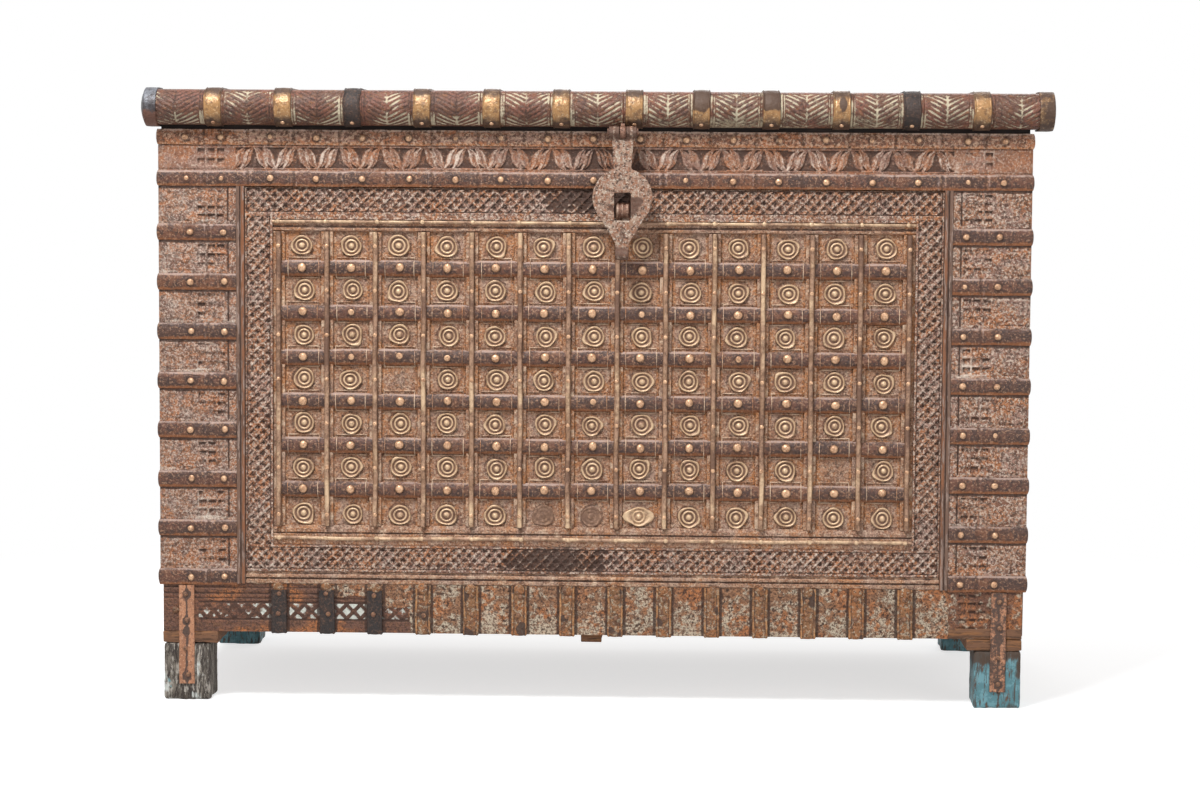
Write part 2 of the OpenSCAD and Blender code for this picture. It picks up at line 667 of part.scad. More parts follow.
module hinge_lid_leaves() color("dimgray") place_body() for (x = hinge_x) translate([x, 0, 0])
    difference() {
        union() {
            barrel(-lid_knuckle / 2, lid_knuckle / 2);
            board([-lid_knuckle / 2, body_d, top_z],
                [lid_knuckle / 2, body_d + leaf_t, top_z + barrel_r + rim_gap + join]);
            board([-hinge_w / 2, body_d, top_z + barrel_r + rim_gap],
                [hinge_w / 2, body_d + leaf_t, top_z + lid_leaf_l]);
        }
        hinge_bore();
    }
module hinge_pins() color("silver") place_body() for (x = hinge_x)
    translate([x - hinge_w / 2, hinge_y, top_z]) rotate([0, 90, 0]) cylinder(h = hinge_w, r = hinge_pin_r);

// The front plank's outline, as depth and height
module roll_outline(grow, back) {
    translate([roll_y, roll_z]) circle(roll_r + grow);
    translate([roll_y, roll_z - roll_r - grow]) square([back - roll_y, roll_d + 2 * grow]);
}
module eye_tang() translate([hasp_x, pin_y, pin_z]) rotate([-eye_tang_tilt, 0, 0])
    translate([-eye_tang_w / 2, -eye_tang_t / 2, 0]) cube([eye_tang_w, eye_tang_t, eye_tang_l]);
module lid_front_plank() color("#5a3028") difference() {
    place_lid() along_x(plank_left, plank_right) roll_outline(0, roll_back);
    place_body() {
        eye_tang();
        board([hasp_x - mortise_w + eye_tang_w, -roll_reach, roll_bottom - over],
            [hasp_x + eye_tang_w / 2, roll_y, roll_bottom + mortise_h]);
    }
}
module lid_board() color("#5a3028") place_lid() board(
    [plank_left + board_inset, roll_back, lid_board_z],
    [plank_right - board_inset, body_d, lid_top]);
module lid_cross_rails() color("saddlebrown") place_body() {
    half = lid_rail_out - lid_rail_w;
    board([-half, lid_rail_inset, top_z], [half, roll_back, roll_bottom]);
    board([-half, roll_back, top_z], [half, roll_back + lid_rail_w, lid_board_z]);
    board([-half, body_d - lid_rail_w, top_z], [half, body_d, lid_board_z]);
}
module lid_side_rails() color("saddlebrown") place_body() for (side = [0, 1]) mirror([side, 0, 0]) {
    board([-lid_rail_out, lid_rail_inset, top_z], [-lid_rail_out + lid_rail_w, roll_back, roll_bottom]);
    board([-lid_rail_out, roll_back, top_z], [-lid_rail_out + lid_rail_w, body_d, lid_board_z]);
}
// A band's outline: round the nose, a short way under, and over the top to the back edge
module band_outline() {
    difference() {
        translate([roll_y, roll_z]) circle(roll_r + band_t);
        translate([roll_y, roll_z]) circle(roll_r);
        translate([roll_y, roll_z - roll_d]) square(2 * roll_d);
    }
    translate([roll_y, lid_top]) square([body_d - roll_y, band_t]);
    translate([roll_y, roll_bottom - band_t]) square([band_under, band_t]);
}
module band(i) along_x(band_x(i) - band_w / 2, band_x(i) + band_w / 2) band_outline();
module lid_brass_bands() color("darkgoldenrod") place_lid() for (i = [0 : bands - 1])
    if (!is_iron(i)) band(i);
module lid_iron_bands() color("#3a3438") place_lid() for (i = iron_bands) band(i);
// An end cap's domed end: part of a ball round the nose, part of a cylinder behind it
module cap_end(dome) {
    cap_r = roll_r + band_t;
    ball_r = (cap_r * cap_r + dome * dome) / (2 * dome);
    translate([0, roll_y, roll_z]) {
        intersection() {
            translate([ball_r - lid_half, 0, 0]) sphere(ball_r, $fn = ball_fn);
            translate([-lid_half - over, 0, 0]) rotate([0, 90, 0]) cylinder(h = dome + over, r = cap_r);
        }
        intersection() {
            translate([ball_r - lid_half, 0, 0]) rotate([-90, 0, 0])
                cylinder(h = roll_back - side_gap - roll_y, r = ball_r, $fn = ball_fn);
            board([-lid_half, 0, -cap_r], [dome - lid_half, roll_back - side_gap - roll_y, cap_r]);
        }
    }
}
module end_cap(dome) {
    difference() {
        along_x(dome - lid_half, cap_l - lid_half) roll_outline(band_t, roll_back - side_gap);
        along_x(dome + band_t - lid_half, 2 * cap_l - lid_half) roll_outline(0, roll_back + over);
    }
    cap_end(dome);
}
module left_end_cap() color("#4a484c") place_lid() end_cap(left_cap_dome);
module right_end_cap() color("#4a3830") place_lid() mirror([1, 0, 0]) end_cap(right_cap_dome);
// Small nails low on each band's nose and along the top, in two rows
module lid_nails() color("gold") place_lid() for (i = [0 : bands - 1]) {
    translate([band_x(i), roll_y, roll_z]) rotate([band_nail_turn, 0, 0]) translate([0, 0, roll_r + band_t])
        nail(small_nail_r, small_nail_h);
    for (y = [roll_back + lid_nail_in, (roll_back + body_d) / 2, body_d - lid_nail_in])
        translate([band_x(i), y, lid_top + band_t]) nail(small_nail_r, small_nail_h);
}

module knuckle(x0, x1) translate([hasp_x + x0, pin_y, pin_z]) rotate([0, 90, 0])
    cylinder(h = x1 - x0, r = knuckle_r);
module hasp_bore(r) translate([hasp_x - knuckle_l, pin_y, pin_z]) rotate([0, 90, 0])
    cylinder(h = 2 * knuckle_l, r = r);
module hasp_eye() color("dimgray") place_body() difference() {
    union() {
        knuckle(-eye_w / 2, eye_w / 2);
        eye_tang();
    }
    hasp_bore(hasp_pin_r + run_gap);
}
module hasp_pin() color("silver") place_body() {
    translate([hasp_x - knuckle_l / 2 - pin_head, pin_y, pin_z]) rotate([0, 90, 0]) {
        cylinder(h = knuckle_l + 2 * pin_head, r = hasp_pin_r);
        cylinder(h = pin_head - side_gap, r = hasp_pin_r + pin_head_out);
        translate([0, 0, knuckle_l + pin_head + side_gap])
            cylinder(h = pin_head - side_gap, r = hasp_pin_r + pin_head_out);
    }
}
// The plate's outline, from its pin: neck, round part, and straight edges down to the tail
module plate_outline() {
    tail = [tail_w / 2, plate_drop - tail_drop + 2 * curl_r];
    tangent = atan2(tail[1], tail[0]) + acos(plate_r / norm(tail));
    touch = (plate_r - edge_lap) * [cos(tangent), sin(tangent)];
    neck_z = sqrt(plate_r * plate_r - neck_low_w * neck_low_w / 4);
    translate([0, -plate_drop]) {
        circle(plate_r);
        polygon([touch, tail, [tail[0], plate_drop - tail_drop], [-tail[0], plate_drop - tail_drop],
            [-tail[0], tail[1]], [-touch[0], touch[1]], [0, 0]]);
        polygon([[neck_low_w / 2, neck_z - neck_lap], [neck_top_w / 2, plate_drop - knuckle_r - rim_gap],
            [-neck_top_w / 2, plate_drop - knuckle_r - rim_gap],
            [-neck_low_w / 2, neck_z - neck_lap]]);
    }
}
module hasp_plate() color("#9a8878") place_body() difference() {
    union() {
        for (side = [0, 1]) translate([hasp_x, 0, 0]) mirror([side, 0, 0]) translate([-hasp_x, 0, 0]) {
            knuckle(ear_in, knuckle_l / 2);
            board([hasp_x + ear_in, pin_y - hasp_t / 2, pin_z - knuckle_r - rim_gap - join],
                [hasp_x + neck_top_w / 2, plate_back, pin_z]);
        }
        translate([hasp_x, plate_back, pin_z]) rotate([90, 0, 0]) linear_extrude(hasp_t) plate_outline();
        translate([hasp_x - tail_w / 2, curl_y, pin_z - tail_drop]) rotate([0, 90, 0])
            cylinder(h = tail_w, r = curl_r);
    }
    hasp_bore(hasp_pin_r + run_gap);
    board([hasp_x - slot_w / 2, pin_y - hasp_t, slot_z - slot_h / 2],
        [hasp_x + slot_w / 2, pin_y + hasp_t, slot_z + slot_h / 2]);
}

left_front_leg();
right_front_leg();
left_rear_leg();
right_rear_leg();
left_bearer();
right_bearer();
center_bearer();
packing_strip();
floor_boards();
left_side_panel();
right_side_panel();
back_panel();
left_stile();
right_stile();
frieze_rail();
bottom_rail();
front_panel();
side_beads();
upper_lattice_board();
lower_lattice_board();
left_lattice_board();
right_lattice_board();
panel_mouldings();
frame_rods();
panel_ribs();
rib_rods();
rib_nails();
panel_straps();
panel_nails();
ring_bosses();
leaf_boss();
upper_frieze_strap();
lower_frieze_strap();
frieze_nails();
left_corner_straps();
right_corner_straps();
rear_corner_straps();
corner_nails();
rail_iron_straps();
rail_copper_straps();
left_leg_strap();
right_leg_strap();
rail_nails();
staple();
hinge_back_leaves();
hinge_pins();
lid_board();
lid_front_plank();
lid_cross_rails();
lid_side_rails();
lid_brass_bands();
lid_iron_bands();
left_end_cap();
right_end_cap();
lid_nails();
hinge_lid_leaves();
hasp_eye();
hasp_pin();
hasp_plate();
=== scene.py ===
"""Antique dowry chest: carved hardwood on block legs, studded with brass and bound with iron and copper.

Pieces are modelled in millimetres from the body's centre line, its front face and the floor, and are
then placed in the frame. Carved and beaten pieces carry values on their vertices, from 0 for none to 1
for full, which their finishes read: tone for pale dust or rubbed bright metal and for painted
highlights, grime_and_shade for dirt in the cuts and for painted shade and shadow, rust, dark for
tarnish and for painted shade on the lid's bands and the rods, sheet for the bottom rail's corroded
cover, and scale for pale crust.
"""
import math
import random
from collections import namedtuple

import bmesh
import bpy
from mathutils import Matrix, Vector, noise


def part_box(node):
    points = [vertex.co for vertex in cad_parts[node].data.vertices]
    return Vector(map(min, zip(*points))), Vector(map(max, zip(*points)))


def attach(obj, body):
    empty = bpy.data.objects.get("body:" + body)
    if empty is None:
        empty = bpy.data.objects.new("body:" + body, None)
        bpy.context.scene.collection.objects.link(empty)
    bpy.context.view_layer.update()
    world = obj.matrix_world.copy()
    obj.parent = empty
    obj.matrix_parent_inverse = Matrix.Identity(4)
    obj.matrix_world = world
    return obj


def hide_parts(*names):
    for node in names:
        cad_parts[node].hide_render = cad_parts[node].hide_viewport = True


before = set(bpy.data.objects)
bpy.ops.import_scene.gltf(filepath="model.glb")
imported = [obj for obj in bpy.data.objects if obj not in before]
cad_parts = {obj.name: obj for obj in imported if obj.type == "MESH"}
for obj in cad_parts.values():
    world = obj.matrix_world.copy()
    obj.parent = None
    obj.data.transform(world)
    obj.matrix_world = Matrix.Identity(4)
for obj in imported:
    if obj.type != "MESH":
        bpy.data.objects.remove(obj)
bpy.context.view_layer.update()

# Placing: millimetres on the chest's body, or on its lid, to metres in the frame
RAIL_LOW, RAIL_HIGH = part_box("frieze_rail")
MIDDLE_X = (RAIL_LOW.x + RAIL_HIGH.x) / 2
SCALE = Matrix.Scale(0.001, 4)
BODY = Matrix.Translation((MIDDLE_X, RAIL_LOW.y, 0)) @ SCALE
LID = Matrix.Translation((0, RAIL_LOW.y, 0)) @ SCALE

# Heights above the floor
LEG_TOP, WALL, OPENING, FRIEZE, TOP = 96, 116, 197, 857, 950
LATTICE_LOW, SILL, FIELD_LOW, FIELD_TOP = 218, 262, 295, 783
LATTICE_HIGH, LATTICE_TOP, LATTICE_LAP = 803, 855, 5
# Half widths across the front, and depths behind its face
HALF, LEG_OUT, STILE_IN, LATTICE_OUT, FIELD_HALF = 718.5, 713.5, 590, 575, 530
LATTICE_FACE, MOULDING_FACE, PANEL_FACE, FRAME_BACK, BODY_DEEP = 2, 6, 12, 28, 646
# Thicknesses of the wall's and floor's planks, and widths of a leg and of a bearer under each end
WALL_THICK, FLOOR_THICK, LEG_WIDE, BEARER_WIDE = 24, 18, 78, 93
LEG_MIDDLE = LEG_OUT - LEG_WIDE / 2
# Ribs, bosses and short straps of the studded panel
COLUMNS, STRAP_ROWS, RIB_REACH, STRAP_HIGH = 13, 6, 520, 26
RIB_PITCH = 2 * RIB_REACH / COLUMNS
FIELD_STEP = (FIELD_TOP - FIELD_LOW - STRAP_ROWS * STRAP_HIGH) / (STRAP_ROWS + 1)
ROW_PITCH = FIELD_STEP + STRAP_HIGH
# Bosses that are lost, worn flat, or torn to a leaf, by column from the left and row from below
LOST, WORN, TORN = {(2, 3), (11, 1)}, {(5, 0), (6, 0)}, (7, 0)
# Straps round the corners: lowest and highest centre, height of one, its joint's place from the middle,
# how far it runs back along the side, and its two nails' places in from the corner
CORNER_LOW, CORNER_TOP, CORNER_HIGH, CORNER_TICK, RETURN = 208, 781, 27, 636, 110
CORNER_STRAPS, REAR_STRAPS, CORNER_NAILS = 8, 4, (53.5, 108.5)
CORNER_PITCH = (CORNER_TOP - CORNER_LOW) / (CORNER_STRAPS - 1)
# Straps along the frieze: height of one, middles, nails' pitch, and last nails' places in from the corner
FRIEZE_STRAP_HIGH, FRIEZE_PITCH, FRIEZE_END_NAILS = 25, 76, (46.5, 105.5)
FRIEZE_STRAP_LOW, FRIEZE_STRAP_TOP = FRIEZE + FRIEZE_STRAP_HIGH / 2, TOP - FRIEZE_STRAP_HIGH / 2
# Leaves of the frieze: foot, height, pitch from pair to pair, starts of the two leaves of a pair, how far
# a leaf leans over its height, and half its width
LEAF_FOOT, LEAF_HIGH, LEAF_PITCH, LEAF_STARTS, LEAF_LEAN, LEAF_HALF = 886.5, 34.5, 70, (0.5, 13.5), 20, 7.6
# Carved windows at each side: inner edge of the three columns, their width in all, and a window's pitches
WINDOWS_IN, WINDOWS_WIDE, WINDOW_ACROSS, WINDOW_UP = 607, 48, 16, 15
# Bottom rail: the inlay's ends, middle, half height and pitch, and where the carved right end starts
INLAY_LEFT, INLAY_RIGHT, INLAY_Z, INLAY_HALF, INLAY_PITCH, CARVED_END = -655, -300, 151, 13, 23.3, 592
# Lid: round nose of its front plank, the plank's ends, its underside, and the bands round it
NOSE_Y, NOSE_Z, NOSE_R, NOSE_BACK, NOSE_STEPS = -9, 986, 29, 34, 56
PLANK_LEFT, PLANK_RIGHT, LID_UNDER, LID_TOP = -736.5, 740.5, 983, NOSE_Z + NOSE_R
BAND_PITCH, BANDS, BAND_WIDE = 114, 12, 28
IRON_BANDS, DARK_BANDS, TORN_BAND = (2, 10), (7, 8), 9
# Middle of the hasp and of the staple
HASP_X = 48
FRONT = (0, -1, 0)
# Values that dusty, dirty and rusty pieces carry
WEAR = ("tone", "grime_and_shade", "rust")


def band_x(i):
    return (i - (BANDS - 1) / 2) * BAND_PITCH + (5 if i == 6 else 0)


def rib_x(i):
    return -RIB_REACH + i * RIB_PITCH


def column_x(i):
    return rib_x(i) + RIB_PITCH / 2


def strap_z(j):
    return FIELD_LOW + FIELD_STEP + j * ROW_PITCH + STRAP_HIGH / 2


def boss_z(j):
    return FIELD_LOW + FIELD_STEP / 2 + j * ROW_PITCH - (5 if j == 0 else 0)


def corner_z(k):
    return CORNER_LOW + k * CORNER_PITCH


def rear_corner_z(k):
    return CORNER_LOW + k * (CORNER_TOP - CORNER_LOW) / (REAR_STRAPS - 1)


def frieze_nail_places():
    """Places across the front: at an even pitch along the strap, then two at each corner."""
    return [FRIEZE_PITCH * k for k in range(-7, 8)] + [
        side * (HALF - inset) for side in (-1, 1) for inset in FRIEZE_END_NAILS]


def speckle(x, y, z, size, seed=0):
    """Even noise from -1 to 1, whose lumps are about size millimetres."""
    return noise.noise(Vector((x / size + 9.7 * seed, y / size - 5.3 * seed, z / size + 3.1 * seed)))


def unevenness(x, y, z, lump=12, fine=4):
    """How a carved face wavers: lumps with a finer grain on them."""
    return 0.6 * speckle(x, y, z, lump) + 0.4 * speckle(x, y, z, fine, 2)


def ease(low, high, value):
    """0 below low, 1 above high, and smooth between."""
    t = min(max((value - low) / (high - low), 0), 1)
    return t * t * (3 - 2 * t)


def line(away, width):
    """1 on a line, down to 0 at width from it."""
    return 1 - ease(width * 0.35, width, abs(away))


# Materials


def linear(text):
    """An sRGB hex colour as linear values with alpha."""
    parts = [int(text[i:i + 2], 16) / 255 for i in (1, 3, 5)]
    return [c / 12.92 if c <= 0.04045 else ((c + 0.055) / 1.055) ** 2.4 for c in parts] + [1.0]


def add(tree, kind, inputs=(), **settings):
    """Adds one node, with its settings, and its inputs as values or links.

    Inputs go by name or number; a Mix has its factor at 0, numbers at 2 and 3, and colours at 6 and 7.
    """
    made = tree.nodes.new("ShaderNode" + kind)
    for key, value in settings.items():
        setattr(made, key, value)
    for key, value in dict(inputs).items():
        if isinstance(value, bpy.types.NodeSocket):
            tree.links.new(value, made.inputs[key])
        else:
            made.inputs[key].default_value = value
    return made


# How far patches are drawn out along x, y and z
EVEN, ALONG_X, ALONG_Y, ALONG_Z = (1, 1, 1), (8, 1, 1), (1, 8, 1), (1, 1, 8)
# A layer's mask is patch for cloudy patches of a size in mm, or the name of a value on the vertices, whose
# edge is broken up by patches of that size; low and high are where the mask starts and is full
Layer = namedtuple("Layer", "mask size low high tint share rough metal stretch", defaults=(0, EVEN))


def cloud(tree, place, size, stretch, shift, detail, roughness):
    """Noise over the object, with lumps of a size in mm drawn out by stretch."""
    spot = add(tree, "Mapping", {"Vector": place, "Scale": [1000 / (size * s) for s in stretch],
                                 "Location": shift})
    return add(tree, "TexNoise", {"Vector": spot.outputs[0], "Scale": 1.0, "Detail": detail,
                                  "Roughness": roughness}).outputs[0]


def aged(name, base, layers, relief, rough=0.7, metal=0.0):
    """A finish built up as age builds it: a base colour, then layers over it, on a surface roughened by
    relief, which is (size in mm, stretch, depth in mm)."""
    made = bpy.data.materials.new(name)
    made.use_nodes = True
    tree = made.node_tree
    shader = tree.nodes["Principled BSDF"]
    place = add(tree, "TexCoord").outputs["Object"]
    colour, roughness, metallic = linear(base), rough, metal
    for number, layer in enumerate(Layer(*given) for given in layers):
        shift = (number * 3.7, number * 1.9, number * 7.3)
        value = cloud(tree, place, layer.size, layer.stretch, shift, 6.0, 0.7)
        if layer.mask != "patch":
            painted = add(tree, "Attribute", attribute_name=layer.mask).outputs["Fac"]
            value = add(tree, "Math", {0: value, 1: 1.4, 2: painted}, operation="MULTIPLY_ADD")
            value = add(tree, "Math", {0: value.outputs[0], 1: 0.7}, operation="SUBTRACT").outputs[0]
        fade = add(tree, "MapRange", {"Value": value, "From Min": layer.low, "From Max": layer.high,
                                      "To Max": layer.share}, interpolation_type="SMOOTHSTEP").outputs[0]
        colour = add(tree, "Mix", {0: fade, 6: colour, 7: linear(layer.tint)}, data_type="RGBA").outputs[2]
        if layer.rough != roughness:
            roughness = add(tree, "Mix", {0: fade, 2: roughness, 3: layer.rough}).outputs[0]
        if layer.metal != metallic:
            metallic = add(tree, "Mix", {0: fade, 2: metallic, 3: layer.metal}).outputs[0]
    size, stretch, depth = relief
    uneven = cloud(tree, place, size, stretch, (0, 0, 0), 4.0, 0.6)
    bump = add(tree, "Bump", {"Height": uneven, "Strength": 1.0, "Distance": depth / 1000}).outputs[0]
    for socket, value in (("Base Color", colour), ("Roughness", roughness), ("Metallic", metallic),
                          ("Normal", bump)):
        if isinstance(value, bpy.types.NodeSocket):
            tree.links.new(value, shader.inputs[socket])
        else:
            shader.inputs[socket].default_value = value
    return made


# The last layer of most finishes: dark dirt in the cuts, and painted shade in hollows, under bars and straps
# and round nails
GRIME_AND_SHADE = ("grime_and_shade", 5, 0.25, 0.75, "#3b261d", 0.9, 0.8)

# Teak, hand carved, limewashed long ago and worn: the lime stays as pale grains between orange wood,
# mauve dust and brown dirt; its pale layer also paints highlights on raised edges, and its dark layer is
# dirt in the cuts and painted shade under bars and straps
carved_wood = aged("limewashed_carved_teak", "#9c6f54", [
    ("patch", 60, 0.46, 0.57, "#ad6d41", 0.75, 0.7),
    ("patch", 36, 0.49, 0.58, "#9a8076", 0.7, 0.8),
    ("patch", 16, 0.50, 0.57, "#70493a", 0.7, 0.75),
    ("patch", 4, 0.50, 0.56, "#d2bfae", 0.75, 0.9),
    ("patch", 4.5, 0.51, 0.56, "#422a1f", 0.8, 0.8),
    ("tone", 4, 0.2, 0.8, "#dccaba", 0.9, 0.9), GRIME_AND_SHADE], relief=(5, EVEN, 4.0))
# The same wood on the frieze, rubbed smooth by hands: few grains are left on its leaves
frieze_wood = aged("rubbed_leaf_frieze", "#94684f", [
    ("patch", 60, 0.46, 0.57, "#a9693f", 0.6, 0.7),
    ("patch", 36, 0.49, 0.58, "#957a6f", 0.6, 0.8),
    ("patch", 16, 0.50, 0.57, "#70493a", 0.5, 0.75),
    ("patch", 4, 0.52, 0.58, "#cdb9a8", 0.45, 0.9),
    ("patch", 4, 0.53, 0.58, "#482e22", 0.45, 0.8),
    ("tone", 3, 0.2, 0.75, "#dccaba", 0.9, 0.9), GRIME_AND_SHADE], relief=(5, EVEN, 2.5))
# The same wood on the left stile, where more of the lime is left
stile_wood = aged("limewashed_teak_stile", "#966a50", [
    ("patch", 48, 0.46, 0.57, "#a96a40", 0.7, 0.7),
    ("patch", 32, 0.48, 0.57, "#998277", 0.75, 0.8),
    ("patch", 16, 0.50, 0.57, "#6e4737", 0.7, 0.75),
    ("patch", 3.5, 0.49, 0.56, "#cfbdae", 0.6, 0.9),
    ("patch", 4.5, 0.51, 0.56, "#452e23", 0.7, 0.8),
    ("tone", 4, 0.2, 0.8, "#dccebf", 0.9, 0.9), GRIME_AND_SHADE], relief=(5, EVEN, 4.0))
# The panel's teak, handled and waxed: browner, with orange where the wax has worn through
panel_wood = aged("waxed_panel_teak", "#a57b60", [
    ("patch", 60, 0.47, 0.58, "#ae7345", 0.75, 0.6),
    ("patch", 40, 0.50, 0.59, "#a68b7c", 0.7, 0.7),
    ("patch", 14, 0.50, 0.57, "#7c543f", 0.7, 0.65),
    ("rust", 12, 0.25, 0.75, "#b0723f", 0.7, 0.65),
    ("patch", 3.5, 0.51, 0.58, "#ceb49c", 0.6, 0.8),
    ("patch", 3, 0.52, 0.58, "#503628", 0.7, 0.7),
    ("tone", 4, 0.25, 0.75, "#dabfa4", 0.85, 0.75), GRIME_AND_SHADE], relief=(5, EVEN, 3.5))
# Turned bead, varnished nearly black and rubbed back to orange brown along its inner side
bead_wood = aged("varnished_bead", "#6f5445", [
    ("rust", 14, 0.25, 0.75, "#855231", 0.85, 0.5, 0, ALONG_Z),
    ("patch", 8, 0.50, 0.57, "#4a352a", 0.8, 0.5, 0, ALONG_Z),
    ("patch", 4, 0.52, 0.58, "#a08a7e", 0.7, 0.7, 0, ALONG_Z), GRIME_AND_SHADE],
    rough=0.6, relief=(3, ALONG_Z, 1.5))


def sawn(name, along):
    """Sawn mango boards, never finished: dry, with open grain along each board and damp stains."""
    return aged(name, "#775843", [
        ("patch", 170, 0.46, 0.60, "#8f6749", 0.8, 0.8, 0, along),
        ("patch", 60, 0.49, 0.60, "#5e4334", 0.75, 0.8, 0, along),
        ("patch", 8, 0.48, 0.58, "#8a6a52", 0.6, 0.8, 0, along),
        ("patch", 3.5, 0.51, 0.58, "#4a3226", 0.75, 0.85, 0, along),
        ("patch", 45, 0.54, 0.66, "#a18b7b", 0.6, 0.9, 0, along),
        ("tone", 9, 0.3, 0.85, "#b19a88", 0.6, 0.85), GRIME_AND_SHADE],
        rough=0.78, relief=(2.5, along, 2.0))


plank_wood, side_wood = sawn("dry_sawn_planks", ALONG_X), sawn("dry_sawn_side_planks", ALONG_Y)
# The rails that seat the lid on the walls: painted near black so that the gap under the lid shows as deep
# shadow
shadow_black_wood = aged("shadow_black_seating_rails", "#211713", [
    ("patch", 30, 0.50, 0.60, "#35271f", 0.8, 0.7, 0, ALONG_X)], rough=0.8, relief=(3, ALONG_X, 1.5))
# The lid's front plank: dark red polish, with a grey-green crust left in and around the cuts
lid_wood = aged("polished_red_lid", "#623e2c", [
    ("patch", 50, 0.47, 0.58, "#784735", 0.8, 0.5),
    ("patch", 14, 0.50, 0.58, "#4b2e25", 0.8, 0.5),
    ("patch", 7, 0.53, 0.59, "#96643f", 0.7, 0.6),
    ("scale", 6, 0.35, 0.7, "#a4977e", 0.8, 0.85),
    ("patch", 3.5, 0.51, 0.57, "#35211a", 0.75, 0.6),
    ("tone", 3, 0.25, 0.75, "#c6baa0", 0.9, 0.9), GRIME_AND_SHADE],
    rough=0.42, relief=(5, EVEN, 2.5))
# The lid's planks: the same polish dulled by dust and hands, with the grain showing through
top_wood = aged("dulled_lid_planks", "#67452f", [
    ("patch", 150, 0.46, 0.60, "#7d5238", 0.8, 0.6, 0, ALONG_X),
    ("patch", 60, 0.49, 0.60, "#4d3125", 0.75, 0.55, 0, ALONG_X),
    ("patch", 40, 0.54, 0.66, "#8f7866", 0.6, 0.8),
    ("patch", 8, 0.49, 0.58, "#80593f", 0.6, 0.6, 0, ALONG_X),
    ("patch", 3.5, 0.51, 0.58, "#3a261d", 0.75, 0.7, 0, ALONG_X),
    ("tone", 9, 0.3, 0.85, "#a8907c", 0.6, 0.8), GRIME_AND_SHADE],
    rough=0.55, relief=(3, ALONG_X, 2.0))
# Bottom rail: bare red wood with a white inlay, and over it thin embossed sheet, rusted orange, crusted
# with pale green and pitted through
rail_wood = aged("rusted_rail_sheet", "#674536", [
    ("patch", 24, 0.47, 0.57, "#80513a", 0.75, 0.6, 0, ALONG_X),
    ("patch", 5, 0.50, 0.57, "#493026", 0.75, 0.65, 0, ALONG_X),
    ("sheet", 3, 0.4, 0.6, "#946c4f", 1.0, 0.75),
    ("rust", 16, 0.3, 0.7, "#b06e3f", 0.85, 0.75),
    ("scale", 4, 0.35, 0.65, "#c6bba6", 0.8, 0.9),
    ("patch", 5, 0.505, 0.55, "#74503a", 0.8, 0.8),
    ("patch", 3.5, 0.515, 0.555, "#452d22", 0.8, 0.8),
    ("tone", 5, 0.35, 0.65, "#cdd0c7", 0.95, 0.9), GRIME_AND_SHADE],
    rough=0.65, relief=(5, EVEN, 3.5))
# Forged iron strap, browned by hands and oil: mauve along its upper edge as painted highlight and where it
# is rubbed, rust along its lower edge
iron = aged("browned_forged_iron", "#4a2f23", [
    ("patch", 90, 0.50, 0.59, "#71462d", 0.7, 0.55, 0.05),
    ("patch", 26, 0.48, 0.58, "#613c2d", 0.75, 0.5, 0.1, ALONG_X),
    ("patch", 9, 0.49, 0.56, "#33201b", 0.75, 0.5, 0.1),
    ("rust", 8, 0.25, 0.75, "#925a35", 0.85, 0.7),
    ("tone", 4, 0.25, 0.8, "#b0968a", 0.8, 0.6, 0.05),
    ("patch", 4, 0.54, 0.60, "#b58d70", 0.55, 0.7), GRIME_AND_SHADE],
    rough=0.45, metal=0.05, relief=(5, EVEN, 2.5))
# The upper of the long frieze straps, of the same iron but dustier and redder, and painted lighter against
# the shade under the lid
frieze_iron_painted_lighter = aged("reddened_frieze_strap_painted_lighter", "#9c6a4e", [
    ("patch", 60, 0.48, 0.57, "#b46d40", 0.8, 0.6),
    ("patch", 26, 0.49, 0.57, "#a38475", 0.75, 0.6, 0, ALONG_X),
    ("patch", 9, 0.50, 0.56, "#5e3b2c", 0.8, 0.5),
    ("rust", 8, 0.25, 0.75, "#bb7d52", 0.85, 0.7),
    ("tone", 4, 0.25, 0.8, "#d6bcac", 0.85, 0.7),
    ("patch", 6, 0.51, 0.56, "#4a3020", 0.75, 0.7),
    ("patch", 4.5, 0.51, 0.57, "#d6b398", 0.7, 0.7), GRIME_AND_SHADE],
    rough=0.5, relief=(5, EVEN, 2.5))
# Wrought iron left black from the fire, with brown rust below
black_iron = aged("fire_blackened_iron", "#1b110e", [
    ("patch", 16, 0.50, 0.58, "#33231b", 0.8, 0.65),
    ("rust", 9, 0.3, 0.8, "#573829", 0.8, 0.7),
    ("tone", 6, 0.3, 0.8, "#3a2a23", 0.6, 0.6),
    ("patch", 4, 0.54, 0.60, "#6b4c3a", 0.5, 0.7)],
    rough=0.62, relief=(4, EVEN, 2.0))
# The left cap's iron, burnished grey-blue and painted lighter on top as a highlight, above its rust
cap_iron = aged("burnished_cap_iron", "#443f41", [
    ("patch", 14, 0.49, 0.58, "#2e292b", 0.8, 0.5, 0.3),
    ("tone", 10, 0.3, 0.9, "#777a81", 0.75, 0.42, 0.35),
    ("rust", 8, 0.25, 0.75, "#6b4738", 0.9, 0.7)],
    rough=0.45, metal=0.3, relief=(5, EVEN, 1.5))
# Thin iron strap under rust: orange brown, with pale scale and dark pits
rusty_iron = aged("rusted_thin_strap", "#8b613f", [
    ("patch", 30, 0.47, 0.57, "#9c6338", 0.8, 0.65),
    ("patch", 14, 0.51, 0.57, "#5f3f2e", 0.8, 0.65),
    ("patch", 6, 0.53, 0.58, "#b7a892", 0.75, 0.9),
    ("patch", 3, 0.53, 0.58, "#49311f", 0.8, 0.8),
    ("tone", 4, 0.25, 0.75, "#b98657", 0.85, 0.6, 0.1),
    ("dark", 9, 0.35, 0.65, "#3e2c24", 0.9, 0.7), GRIME_AND_SHADE],
    rough=0.65, metal=0.05, relief=(4, EVEN, 3.0))
